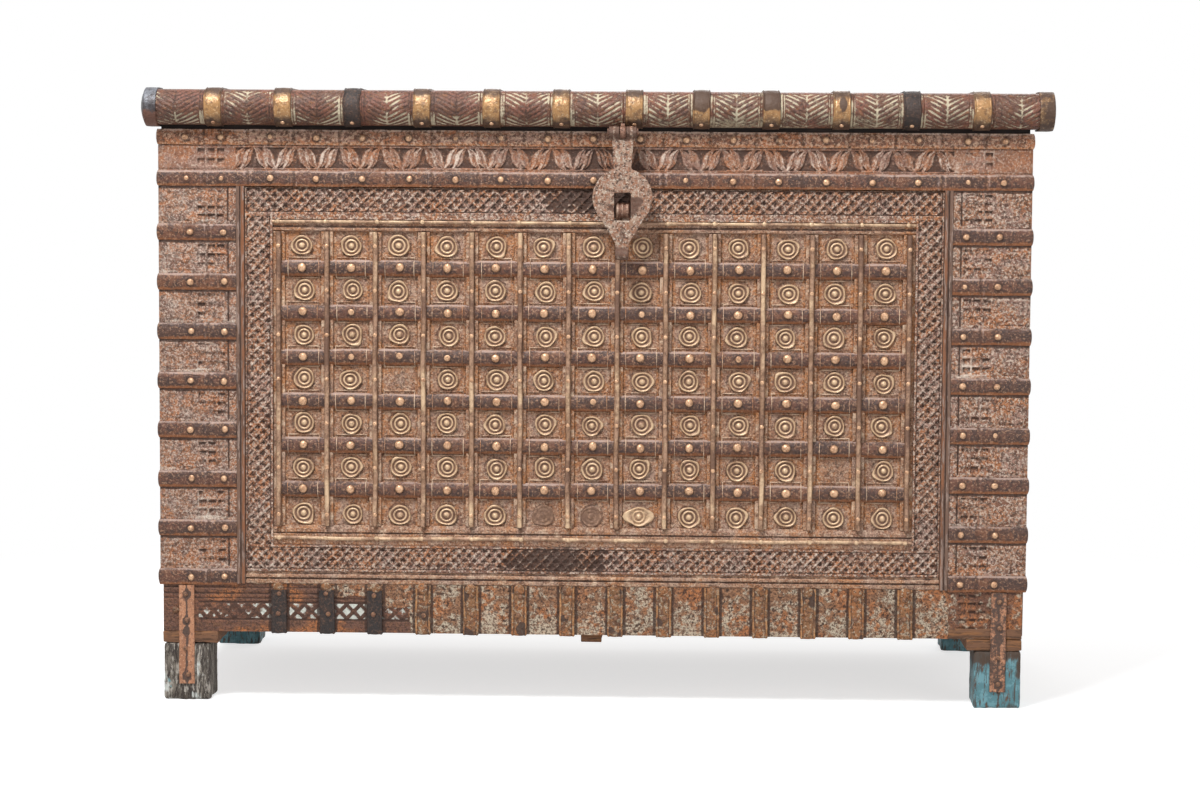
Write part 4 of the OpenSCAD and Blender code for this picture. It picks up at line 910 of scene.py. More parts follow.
def studs(name, node, spots, r, h, finish, jitter, flattened=0.0):
    """Domed nails at the given (place, way out), each a little out of line, a share of them flattened."""
    rng = random.Random(len(spots) + int(r * 10))
    bm = bmesh.new()
    grime_and_shade = value_layers(bm, ("grime_and_shade",))[0]
    for spot, out in spots:
        aside = Vector((rng.uniform(-jitter, jitter), 0, rng.uniform(-jitter, jitter)))
        if abs(out[0]) > 0.5:
            aside = Vector((0, aside.x, aside.z))
        worn = rng.random() < flattened
        tall, middle = h * (0.4 if worn else 1), Vector(spot) + aside
        for v in dome(bm, middle, out, r * (0.75 if worn else 1), tall, rng):
            # Each head is painted darker towards its rim as shade
            v[grime_and_shade] = ease(0.7, 0.2, (v.co - middle).dot(Vector(out)) / tall)
    place(bm, name, "chest", "brass_nail", finish, (node,), crease=60)


def all_studs():
    """Each set of domed nails: the panel's, the frieze's, the corners' and the bottom rail's."""
    studs("panel_studs", "panel_nails",
          [((column_x(i), 3.0, strap_z(j) + 1), FRONT) for i in range(COLUMNS) for j in range(STRAP_ROWS)],
          7.7, 5.2, nail_brass, 1.6, 0.05)
    proud = 2.8
    studs("frieze_studs", "frieze_nails",
          [((x, -proud, z), FRONT) for z in (FRIEZE_STRAP_LOW, FRIEZE_STRAP_TOP)
           for x in frieze_nail_places()], 5.8, 4, nail_brass, 1.2, 0.2)
    spots = []
    for side in (-1, 1):
        for k in range(CORNER_STRAPS):
            z = corner_z(k)
            spots += [((side * (HALF - inset), -proud, z), FRONT) for inset in CORNER_NAILS]
            spots.append(((side * (HALF + proud), RETURN - 20, z), (side, 0, 0)))
        for k in range(REAR_STRAPS):
            z = rear_corner_z(k)
            spots.append(((side * (HALF - RETURN + 20), BODY_DEEP + proud, z), (0, 1, 0)))
            spots.append(((side * (HALF + proud), BODY_DEEP - RETURN + 20, z), (side, 0, 0)))
    studs("corner_studs", "corner_nails", spots, 5.9, 4.2, nail_brass, 1.2, 0.12)
    spots = [((rib_x(i), -proud, WALL + up), FRONT) for i in range(COLUMNS + 1) for up in (31, 63)]
    spots += [((side * LEG_MIDDLE, -proud, 42 + k * 45.8), FRONT) for side in (-1, 1) for k in range(4)]
    studs("rail_studs", "rail_nails", spots, 4.4, 2.6, dull_nail, 2.5)


# A boss from its middle out, as (distance out, height): a button, a thin ring and the rim's ring
RING = [(0.01, 5.0), (1.6, 4.9), (3.2, 4.1), (4.4, 2.6), (5.0, 1.2), (6.6, 0.9), (7.8, 1.1), (8.6, 2.6),
        (9.6, 3.1), (10.7, 2.6), (11.5, 1.2), (13.2, 0.9), (14.0, 1.6), (14.9, 3.6), (16.0, 4.2),
        (17.1, 3.3), (17.7, 0.0), (0.01, 0.0)]


def ring_boss(bm, x, z, seed, worn=False, leaf=False):
    """Thin brass rings beaten up round a button, with a torn tongue at one side of the rim."""
    rng = random.Random(seed)
    before = set(bm.verts)
    chain = [bm.verts.new((r, -h, 0)) for r, h in RING]
    links = [bm.edges.new(pair) for pair in zip(chain, chain[1:])]
    bmesh.ops.spin(bm, geom=chain + links, cent=(0, 0, 0), axis=(0, 1, 0), angle=2 * math.pi, steps=24,
                   use_merge=True)
    tone, dark = value_layers(bm, ("tone", "dark"))
    squash = (rng.uniform(0.94, 1.05), rng.uniform(0.94, 1.05))
    tongue, reach = rng.choice((0.3, 2.6, 3.4, -0.5)) + rng.uniform(-0.4, 0.4), rng.uniform(0.05, 0.24)
    shift = (rng.uniform(-2.5, 2.5), rng.uniform(-1.5, 1.5))
    flat = 0.3 if worn else 1
    for v in set(bm.verts) - before:
        r, high = math.hypot(v.co.x, v.co.z), -v.co.y
        angle = math.atan2(v.co.z, v.co.x)
        rim = ease(12, 17, r)
        lobe = 1 + rim * (0.04 * math.sin(3 * angle + tongue)
                          + reach * max(0, math.cos(angle - tongue)) ** 14
                          + 0.05 * speckle(math.cos(angle) * 9, seed, math.sin(angle) * 9, 5))
        if leaf:
            lobe += rim * 0.6 * abs(math.cos(angle)) ** 8
        # The raised rings and button are painted pale, partly as rubbed brass and partly as highlight
        lit = ease(1.3, 2.5, high) * (0.85 + 0.6 * speckle(v.co.x, seed, v.co.z, 14))
        v[tone] = 0 if worn else (lit if not leaf else 0.5 + 0.5 * lit)
        v[dark] = 0.6 if worn else (0.85 * (1 - ease(0.9, 1.8, high)) * (0.4 if leaf else 1))
        v.co.x = x + shift[0] + v.co.x * lobe * squash[0]
        v.co.z = z + shift[1] + v.co.z * lobe * squash[1]
        v.co.y = PANEL_FACE + 0.3 - high * flat


def bosses():
    """A boss in each field; the values come first, because new ones would lose the vertices in hand."""
    bm, leaf = bmesh.new(), bmesh.new()
    value_layers(bm, ("tone", "dark"))
    value_layers(leaf, ("tone", "dark"))
    for i in range(COLUMNS):
        for j in range(STRAP_ROWS + 1):
            if (i, j) == TORN:
                ring_boss(leaf, column_x(i), boss_z(j), 4, leaf=True)
            elif (i, j) not in LOST:
                ring_boss(bm, column_x(i), boss_z(j), 31 * i + 7 * j, worn=(i, j) in WORN)
    place(bm, "ringed_bosses", "chest", "brass", brass, ("ring_bosses",), crease=50)
    place(leaf, "torn_leaf_boss", "chest", "brass", brass, ("leaf_boss",), crease=50)


def block_straps(rng):
    """The short iron straps between the ribs."""
    bm = bmesh.new()
    for i in range(COLUMNS):
        for j in range(STRAP_ROWS):
            z = strap_z(j) + rng.uniform(-1, 1)
            banded(bm, straight(rib_x(i) + 3.6, rib_x(i + 1) - 3.6, 4, PANEL_FACE, z), STRAP_HIGH, 9.4, 4.2,
                   20 * i + j, nails=(column_x(i),))
    place(bm, "panel_ironwork", "chest", "iron", iron, ("panel_straps",))


def field_beads(rng):
    """Thin dusty beads that run over each short strap and round it."""
    bm = bmesh.new()
    for i in range(COLUMNS):
        for j in range(STRAP_ROWS):
            x, z = column_x(i), strap_z(j)
            top, foot = z + 17.5, z - 16

            def dusty(a, b, spot):
                return 0.4 * speckle(*spot, 9), 0.4 + 0.8 * speckle(*spot, 24, 2), 0, 0.3

            for side in (-1, 1):
                u = x + side * 25 + rng.uniform(-1.5, 1.5)
                run = [(2.0, foot), (2.0, z - 13.6), (5.6, z - 12.4), (8.2, z - 9), (9.6, z - 4),
                       (9.8, z), (9.6, z + 4), (8.2, z + 9), (5.6, z + 12.4), (2.0, z + 13.6), (2.0, top)]
                path = [((u, PANEL_FACE - rise, w), (0, -1, 0), (1, 0, 0)) for rise, w in run]
                strip(bm, path, [(-1.6, -0.8), (0, -0.5), (0, 0.5), (-1.6, 0.8)], dusty, names=WEAR)
            for w in (top, foot):
                strip(bm, straight(x - 25.5, x + 25.5, 6, PANEL_FACE, w),
                      [(0, -1.0), (1.3, -0.5), (1.3, 0.5), (0, 1.0)], dusty, names=WEAR)
    place(bm, "field_beads", "chest", "panel_wood", panel_wood)


def filleted_ribs():
    """Wood ribs with a low fillet at each side, which carry the rods."""
    bm = bmesh.new()
    section = [(0, -10), (4.2, -9.8), (5, -9), (5, -5), (4.4, -4), (10, -3.8), (10, 3.8), (4.4, 4), (5, 5),
               (5, 9), (4.2, 9.8), (0, 10)]
    for i in range(COLUMNS + 1):
        def fillet(a, b, spot, i=i):
            rub = speckle(*spot, 16, i) + 0.4 * speckle(*spot, 5, i + 2)
            grime_and_shade = (0.8 if b in (4, 7) else 0) - 0.2 * rub
            return -0.4 * abs(rub), 0.25 + 0.6 * rub, grime_and_shade, 0.4 + 0.8 * speckle(*spot, 50, 7)

        strip(bm, upright(rib_x(i), FIELD_LOW, FIELD_TOP, 5, PANEL_FACE), section, fillet, names=WEAR)
    place(bm, "filleted_ribs", "chest", "panel_wood", panel_wood, ("panel_ribs",), crease=30)


def rib_rods():
    """Half-round brass rods up the ribs, a little bent, bright in stretches and dull in others."""
    bm = bmesh.new()
    for i in range(COLUMNS + 1):
        path = [((p[0] + 1.6 * speckle(p[0], 0, p[2], 90, 3), p[1], p[2]), o, a)
                for p, o, a in upright(rib_x(i), FIELD_LOW, FIELD_TOP, 5, 2)]

        def beaten(a, b, spot, i=i):
            beat = speckle(*spot, 18, i) + 0.5 * speckle(*spot, 6, i + 3)
            worn = speckle(i * 37, 0, spot.z, 150, 2) + 0.5 * speckle(i * 37, 0, spot.z, 40, 5)
            # The crest is painted lighter and the sides darker, as highlight and shade; worn stretches are
            # brighter
            top = 1 if 1 < b < 7 else 0
            tone = 0.25 * top + 1.1 * worn + 0.35 * beat
            dark = 0.5 - 1.1 * worn - 0.35 * top
            return 0.4 * beat * top, tone, dark

        strip(bm, path, half_round(4.1), beaten, names=("tone", "dark"))
    place(bm, "beaten_rib_rods", "chest", "brass", brass, ("rib_rods",))


def frame_rods():
    """The brass rods above and below the field, with a knot at each rib."""
    bm = bmesh.new()
    rng = random.Random(3)
    for z, sway in ((LATTICE_HIGH - 3.5, 0.5), (SILL + 12, 1.6)):
        path = [((p[0], p[1], z + sway * speckle(p[0], 0, 0, 110, z)), o, a)
                for p, o, a in straight(-FIELD_HALF, FIELD_HALF, 5, MOULDING_FACE, z)]

        def rod(a, b, spot):
            beat = speckle(*spot, 22, 2)
            return 0.3 * speckle(*spot, 14), 0.55 + 0.6 * beat, 0.2 - 0.4 * speckle(*spot, 30, 5)

        strip(bm, path, half_round(3.1), rod, names=("tone", "dark"))
        tone = value_layers(bm, ("tone", "dark"))[0]
        for k in range(COLUMNS + 1):
            x = rib_x(k) + rng.uniform(-3, 3)
            for v in dome(bm, Vector((x, 3.4, z)), FRONT, 3.9, 2.4, rng):
                v[tone] = 0.8
    place(bm, "beaten_frame_rods", "chest", "brass", brass, ("frame_rods",))


# Bottom rail, legs and planks


def inlay(x, z):
    """A white lattice let into the rail between two scribed lines, gone in part towards its ends."""
    tone = grime_and_shade = cut = 0
    if abs(z - INLAY_Z) < INLAY_HALF:
        p = INLAY_PITCH
        a, b = (x + (z - INLAY_Z)) % p, (x - (z - INLAY_Z)) % p
        let_in = ease(2.6, 3.6, min(a, p - a, b, p - b) / math.sqrt(2))
        white = 0.35 if x < -560 else 0.6 if x < -455 else 1.0 if x < -365 else 0.6
        tone = let_in * (white + 0.7 * speckle(x, 3, z, 12, 4))
        cut, grime_and_shade = 0.9 * let_in, 0.55 * (1 - let_in)
    near = line(abs(z - INLAY_Z) - INLAY_HALF - 1.5, 2.4)
    return cut + 1.2 * near, tone, max(grime_and_shade, 0.8 * near)


def rail_carving(x, z):
    """Bare wood with an inlaid lattice at the left, corroded sheet, and carved windows at the right end."""
    rough = unevenness(x, 8, z)
    ragged = 9 * speckle(x, 8, z, 22, 6) + 4 * speckle(x, 8, z, 7, 8)
    bare_top = 197 if x < -440 else 176 if x < -365 else 158
    bare = x < INLAY_RIGHT - 5 + ragged and z < bare_top + 0.4 * ragged or x < INLAY_LEFT or x > CARVED_END
    cut, tone, grime_and_shade = inlay(x, z) if bare and INLAY_LEFT < x < INLAY_RIGHT else (0, 0, 0)
    sheet = 0 if bare else 1
    u = (x + RIB_REACH) % RIB_PITCH
    beside = line(min(u, RIB_PITCH - u) - 15, 4) if abs(x) < 540 else 0
    pits = ease(0.2, 0.5, speckle(x, 9, z, 5.5, 3) + 0.25 * speckle(x, 9, z, 30, 2))
    scale = sheet * (0.38 + 0.3 * ease(188, 122, z) + 0.45 * speckle(x, 9, z, 36, 9)
                     + 0.55 * speckle(x, 9, z, 9, 4) - 0.04)
    rust = 0.25 + 0.25 * sheet + 0.8 * speckle(x, 10, z, 45, 2) + 0.35 * ease(128, 118, z)
    if x > CARVED_END:
        # The windows bring their painted shadow under each bar
        cut, _, grime_and_shade = windows(x, z, 124, 192)
        rust, scale = rust + 0.25, 0.32 + 0.7 * speckle(x, 9, z, 9, 4) + 0.3 * speckle(x, 9, z, 30, 2)
    elif bare:
        rust, groove = rust - 0.1, max(line(z - w, 2.2) for w in (172, 180, 190))
        cut, grime_and_shade = cut + 1.2 * groove, max(grime_and_shade, 0.7 * groove)
    lift = 0.9 * math.sin(math.pi * min(max((z - WALL) / (OPENING - WALL), 0), 1))
    depth = 2.0 - 1.2 * sheet - 0.3 * lift + cut + 0.5 * rough + 1.2 * pits * sheet
    return max(0.1, depth), tone, max(grime_and_shade, 0.75 * pits * sheet, 0.8 * beside), sheet, scale, rust


def bottom_rail():
    """The carved and sheeted board under the panel."""
    bm = bmesh.new()
    carved_board(bm, (-LEG_OUT, 0, WALL), (LEG_OUT, FRAME_BACK, OPENING), 1.8, rail_carving,
                 names=("tone", "grime_and_shade", "sheet", "scale", "rust"))
    place(bm, "inlaid_bottom_rail", "chest", "rail_wood", rail_wood, ("bottom_rail",))


def rail_straps():
    """Straps with rolled edges from under the bottom rail up its front: three black, the others rusty."""
    section = [(0, -13), (1.6, -12.8), (2.8, -11.8), (3.2, -10), (2.5, -8.4)] + [
        (2.5 + 0.6 * math.cos(math.pi * (k - 3) / 8), 2.1 * (k - 3)) for k in range(7)] + [
        (2.5, 8.4), (3.2, 10), (2.8, 11.8), (1.6, 12.8), (0, 13)]
    last = len(section) - 1
    for name, node, ribs_here, top, finish, slot in (
            ("black_rail_ironwork", "rail_iron_straps", range(3), WALL + 71, black_iron, "black_iron"),
            ("brown_rail_ironwork", "rail_copper_straps", range(3, 14), OPENING, rusty_iron, "rusty_iron")):
        bm = bmesh.new()
        for i in ribs_here:
            path = [((rib_x(i), y, WALL), (0, 0, -1), (1, 0, 0)) for y in (8, 4)]
            path += [((rib_x(i), 0, WALL), (0, -math.sin(turn), -math.cos(turn)), (1, 0, 0))
                     for turn in (0, math.pi / 6, math.pi / 3)]
            path += upright(rib_x(i), WALL, top, 3.5, 0)

            def shape(a, b, spot, i=i):
                dent = speckle(*spot, 18, i) + 0.5 * speckle(*spot, 6, i + 2)
                spot.x += 1.2 * speckle(0, 0, spot.z, 35, i)
                raised = 0.6 if b in (2, 3, last - 2, last - 3) else 0
                blot = ease(0.15, 0.4, speckle(spot.x, 0, spot.z, 34, 9)) * (1 if 2 < b < last - 2 else 0)
                inward = min(0, 0.6 * dent - 0.5) if 0 < b < last else 0
                grime_and_shade = 0.7 if b in (0, last, 4, last - 4) else 0
                return inward, 0.5 * dent + raised - 0.15, grime_and_shade, 0.5 * dent, 0.9 * blot

            strip(bm, path, section, shape, names=("tone", "grime_and_shade", "rust", "dark"))
        place(bm, name, "chest", slot, finish, (node,))


def rail_rosettes():
    """A flat rusty rosette over each strap, and a small one at the rail's left end."""
    rng = random.Random(8)
    bm = bmesh.new()
    for i in range(COLUMNS + 1):
        dome(bm, Vector((rib_x(i) + rng.uniform(-2, 2), -0.6 if i < 3 else -2.4, 191)), FRONT,
             9.5, 2.8, rng, 14)
    dome(bm, Vector((-693, 0.5, 152)), FRONT, 6, 3, rng)
    place(bm, "rail_rosettes", "chest", "rusty_iron", rusty_iron, crease=60)


def legs():
    """Block legs: the left front one silvered and flaked, the others painted, bare towards the top."""
    def silvered(spot, rub):
        low = 0.5 * ease(75, 20, spot.z) * ease(-690, -706, spot.x)
        low += 0.35 * line(spot.x + 662, 12) * ease(85, 40, spot.z)
        blue = ease(55, 30, spot.z) * ease(-684, -700, spot.x) * 0.5 + 0.6 * speckle(*spot, 14, 7) - 0.28
        return 0.25 * rub + low + 0.6 * speckle(*spot, 12, 5) - 0.05, 0.6 * max(0, -rub), blue

    def painted(spot, rub):
        return 0, 0.8 * ease(52, 92, spot.z) + 0.7 * speckle(*spot, 26, 4) + 0.3 * rub

    for node, side, y, finish, slot, seed in (
            ("left_front_leg", -1, 0, leg_grey, "leg_grey", 3),
            ("right_front_leg", 1, 0, leg_blue, "leg_blue", 5),
            ("left_rear_leg", -1, BODY_DEEP - LEG_WIDE, leg_blue, "leg_blue", 7),
            ("right_rear_leg", 1, BODY_DEEP - LEG_WIDE, leg_blue, "leg_blue", 9)):
        bm = bmesh.new()
        low, high = sorted((side * LEG_OUT, side * (LEG_OUT - LEG_WIDE)))
        paint, names = painted, ("tone", "grime_and_shade")
        if finish is leg_grey:
            paint, names = silvered, ("tone", "grime_and_shade", "scale")
        worn_block(bm, (low, y, 0), (high, y + LEG_WIDE, LEG_TOP), 6, 1.0, seed, 3, paint, names)
        place(bm, "worn_" + node, "chest", slot, finish, (node,))


def bearers():
    """The bearers across the legs and under the middle, and the strip that packs the right end."""
    outer = LEG_OUT + 1.5
    inner = outer - BEARER_WIDE
    for node, low, high, step, wear, seed, bevel in (
            ("left_bearer", (-outer, 0, LEG_TOP), (-inner, BODY_DEEP, WALL), 14, 0.7, 3, 2),
            ("right_bearer", (inner, 0, LEG_TOP), (outer, BODY_DEEP, WALL), 14, 0.7, 5, 2),
            ("center_bearer", (-17.5, 12, 102), (17.5, BODY_DEEP - 12, WALL), 12, 0.6, 6, 1.5),
            ("packing_strip", (LEG_OUT - 122, 0, WALL), (LEG_OUT, FRAME_BACK, WALL + 17), 8, 0.5, 8, 1.5)):
        bm = bmesh.new()
        worn_block(bm, low, high, step, wear, seed, bevel)
        place(bm, "worn_" + node, "chest", "bare_wood", bare_wood, (node,))


def leg_strips():
    """A copper strip down each front leg, black where its nails have stained it; the right one is dull."""
    for node, side in (("left_leg_strap", -1), ("right_leg_strap", 1)):
        bm = bmesh.new()
        x = side * LEG_MIDDLE
        section = [(0, -13), (2.2, -12.8), (3, -11.8), (2.6, -9)] + [
            (2.6, -6 + 2 * k) for k in range(7)] + [(2.6, 9), (3, 11.8), (2.2, 12.8), (0, 13)]
        last = len(section) - 1

        def stained(a, b, spot, x=x):
            dent = speckle(*spot, 16, 3) + 0.5 * speckle(*spot, 6, 4)
            knob = min(abs(spot.z - z) for z in (40, 116, 133, 178))
            width = 1.6 + 4.6 * line(knob, 10)
            streak = 1 - ease(width - 1, width + 1.2, abs(spot.x - x + 1.5 * dent))
            spot.x += 0.8 * speckle(0, 0, spot.z, 40, 5)
            tarnish = 0.5 + 0.2 * dent if x > 0 else 0
            inward = min(0, 0.4 * dent - 0.4) if 0 < b < last else 0
            return inward, 0, 0.6 if b in (0, last) else 0, max(streak, tarnish)

        strip(bm, upright(x, 28, 193.5, 4, 0), section, stained, names=("tone", "grime_and_shade", "dark"))
        place(bm, node + "_sheet", "chest", "copper", copper, (node,))


def boards(bm, low, high, count, axis, seed, step=40):
    """Boards side by side along an axis, 0 to 2 for X to Z, with small open joints."""
    gap, bevel = 0.8, 1.6
    width = (high[axis] - low[axis]) / count
    for k in range(count):
        a, b = list(low), list(high)
        a[axis] = low[axis] + k * width + gap / 2
        b[axis] = low[axis] + (k + 1) * width - gap / 2
        worn_block(bm, a, b, step, 0.5, seed + k, bevel)


def planking():
    """The plain boards of the sides, the back, the floor and the lid."""
    for side, name in ((-1, "left"), (1, "right")):
        bm = bmesh.new()
        low, high = sorted((side * HALF, side * (HALF - WALL_THICK)))
        boards(bm, (low, FRAME_BACK, WALL), (high, BODY_DEEP - WALL_THICK, TOP), 4, 2, 20 + side)
        place(bm, name + "_side_planks", "chest", "plank_wood", side_wood, (name + "_side_panel",))
    bm = bmesh.new()
    boards(bm, (-HALF, BODY_DEEP - WALL_THICK, WALL), (HALF, BODY_DEEP, TOP), 4, 2, 31)
    place(bm, "back_planks", "chest", "plank_wood", plank_wood, ("back_panel",))
    bm = bmesh.new()
    boards(bm, (WALL_THICK - HALF, FRAME_BACK, WALL),
           (HALF - WALL_THICK, BODY_DEEP - WALL_THICK, WALL + FLOOR_THICK), 5, 1, 41)
    place(bm, "floor_planks", "chest", "plank_wood", plank_wood, ("floor_boards",))
    bm = bmesh.new()
    boards(bm, (PLANK_LEFT + 8, NOSE_BACK, LID_UNDER), (PLANK_RIGHT - 8, BODY_DEEP, LID_TOP), 4, 1, 51,
           step=24)
    place(bm, "lid_planks", "lid", "lid_wood", top_wood, ("lid_board",), where=LID)


# Lid


def nose_path():
    """From under the front plank round its nose and over the lid to its back edge."""
    path = [((0, NOSE_Y + 12, NOSE_Z - NOSE_R), (0, 0, -1), (1, 0, 0))]
    for k in range(37):
        turn = -math.pi / 2 - math.pi * k / 36
        out = (0, math.cos(turn), math.sin(turn))
        path.append(((0, NOSE_Y + NOSE_R * out[1], NOSE_Z + NOSE_R * out[2]), out, (1, 0, 0)))
    back = [10 + 26 * k for k in range(25)] + [BODY_DEEP]
    return path + [((0, y, LID_TOP), (0, 0, 1), (1, 0, 0)) for y in back]


def chevrons(x, arc, middle, half):
    """Cuts that slope down to a rib in the middle of a span, with two lines at each end of it."""
    aside = abs(x - middle)
    if aside > half - 9:
        return max(line(aside - half + 6.5, 2.2), line(aside - half + 2.2, 2.2))
    v = (arc - 0.62 * aside) % 9
    return max(line(min(v, 9 - v), 2.9), line(aside, 2.6))


def lid_nose():
    """The lid's front plank: a round nose with chevrons cut between the bands, crusted in places."""
    bm = bmesh.new()
    turns = [-math.pi / 2 - math.pi * k / NOSE_STEPS for k in range(NOSE_STEPS + 1)]
    section = [(-NOSE_BACK, NOSE_Z - NOSE_R)]
    section += [(-NOSE_Y - NOSE_R * math.cos(turn), NOSE_Z + NOSE_R * math.sin(turn)) for turn in turns]
    section += [(-10, LID_TOP), (-NOSE_BACK, LID_TOP)]
    ends = [PLANK_LEFT - 12] + [band_x(i) for i in range(BANDS)] + [PLANK_RIGHT + 12]
    spans = [((a + b) / 2, (b - a - BAND_WIDE) / 2) for a, b in zip(ends, ends[1:])]

    def shape(i, j, spot):
        x, y, z = spot
        turn = turns[min(max(j - 1, 0), NOSE_STEPS)]
        middle, half = min(spans, key=lambda s: abs(s[0] - x))
        rough = unevenness(x, y, z, 14, 5)
        arc = (j - 1) * math.pi * NOSE_R / NOSE_STEPS
        cut = chevrons(x, arc, middle, half) if 6 < arc < 78 else 0
        crust = 0.1 + 0.5 * ease(40, 110, x) * (1 - ease(480, 700, x)) + 0.45 * ease(46, 22, arc)
        crust += 0.7 * speckle(x, y, z, 44, 7) - 0.25 * ease(0, 200, -x)
        left = ease(-0.2, 0.45, crust)
        inward = 1.5 * cut * (0.6 + 0.4 * left) + 0.35 * abs(rough)
        spot.y -= inward * math.cos(turn)
        spot.z -= inward * math.sin(turn)
        worn = 0.55 + 1.1 * speckle(x, y, z, 20, 4) + 0.9 * speckle(x, y, z, 8, 6) + 0.25 * ease(0, -200, x)
        dust = 0.12 + (0.42 if x > 0 else 0.52) * left
        scale = 0.5 * crust + 0.3 * rough - 0.06 - 0.4 * cut * (1 - left)
        return 0, cut * dust * (0.5 + worn), 0.6 * cut * (1 - left), scale

    strip(bm, straight(PLANK_LEFT, PLANK_RIGHT, 1.7, 0, 0), section, shape,
          names=("tone", "grime_and_shade", "scale"))
    place(bm, "chevron_nose_plank", "lid", "lid_wood", lid_wood, ("lid_front_plank",), where=LID)


def bands():
    """Beaten bands round the nose and over the lid, with rolled edges, painted bright at mid-height on the
    front of the nose as highlight and darker above and below it as shade.
    """
    half = BAND_WIDE / 2
    section = [(0, -half), (2.2, 0.3 - half), (3.3, 1.6 - half), (2.2, 3.4 - half)]
    section += [(2.5 + 0.4 * math.cos(k * math.pi / 6), k * 3.2) for k in range(-3, 4)]
    section += [(rise, -across) for rise, across in section[3::-1]]
    last = len(section) - 1
    for name, node, finish, slot in (("brass_band_set", "lid_brass_bands", band_brass, "brass"),
                                     ("iron_band_set", "lid_iron_bands", black_iron, "black_iron")):
        bm = bmesh.new()
        for i in range(BANDS):
            if (i in IRON_BANDS) != (finish is black_iron):
                continue
            here = [(rise, across + band_x(i)) for rise, across in section]

            def shape(a, b, spot, i=i):
                dent = speckle(*spot, 16, i) + 0.4 * speckle(*spot, 6, i + 3)
                front = ease(NOSE_Y, NOSE_Y - 14, spot.y)
                spot.x += 1.3 * speckle(0, spot.y, spot.z, 26, i)
                # middle and front place a painted highlight along the nose at mid-height; away from it the
                # bands are painted darker as shade
                middle = 1 - ease(8, 27, abs(spot.z - NOSE_Z - 1))
                rolled = 0.5 if b in (2, last - 2) else 0
                tarnish_and_shade = 0.75 * (1 - middle) + 0.35 * dent
                if i in DARK_BANDS:
                    tarnish_and_shade += 0.8 * ease(976, 992, spot.z + 8 * dent)
                if i == TORN_BAND:
                    tarnish_and_shade += 1.2 * (1 - ease(0.7, 1.2, math.hypot((spot.x - band_x(i) - 2) / 6,
                                                                (spot.z - 994) / 12)))
                lift = 0.5 * dent + (0.5 * ease(1008, 1013, spot.z) if spot.y < 0 else 0)
                more = min(0.3, lift - 0.4) if 0 < b < last else 0
                tone = 0.3 + 0.6 * middle * front + rolled * middle + 0.3 * dent
                return more, tone, 0, tarnish_and_shade, 0.5 * dent

            strip(bm, nose_path(), here, shape, names=("tone", "grime_and_shade", "dark", "rust"))
        place(bm, name, "lid", slot, finish, (node,), where=LID)


def softened(node):
    """A CAD node's solid as a bmesh in metres, with its edges rounded by 0.6 mm."""
    bm = bmesh.new()
    bm.from_mesh(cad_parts[node].data)
    bmesh.ops.remove_doubles(bm, verts=bm.verts, dist=1e-6)
    bmesh.ops.dissolve_limit(bm, angle_limit=math.radians(1.0), verts=bm.verts, edges=bm.edges)
    sharp = [e for e in bm.edges if len(e.link_faces) == 2 and e.calc_face_angle() > math.radians(35)]
    round_edges(bm, sharp, 0.0006)
    return bm


def forged(node, grain, depth, paint, names):
    """A CAD node's solid remade as an even skin, hammered all over, with values on its vertices."""
    mesh = new_mesh("blank", softened(node))
    blank = new_object("blank", mesh)
    skin = blank.modifiers.new("skin", "REMESH")
    skin.mode, skin.voxel_size = "VOXEL", grain / 1000
    graph = bpy.context.evaluated_depsgraph_get()
    made = blank.evaluated_get(graph).to_mesh()
    bm = bmesh.new()
    bm.from_mesh(made)
    bpy.data.objects.remove(blank)
    bpy.data.meshes.remove(mesh)
    bmesh.ops.smooth_vert(bm, verts=bm.verts, factor=0.5, use_axis_x=True, use_axis_y=True,
                          use_axis_z=True)
    bm.normal_update()
    layers = value_layers(bm, names)
    for v in bm.verts:
        spot = Vector((v.co.x - MIDDLE_X, v.co.y - RAIL_LOW.y, v.co.z)) * 1000
        blow = speckle(*spot, 13, 2) + 0.7 * speckle(*spot, 4.5, 3)
        extra, *values = paint(spot, blow)
        give(v, layers, values)
        v.co -= v.normal * (depth * (0.4 + max(-0.4, blow)) + extra) / 1000
    return bm


# A CAD node's mesh is in its place already
IN_PLACE = Matrix.Identity(4)


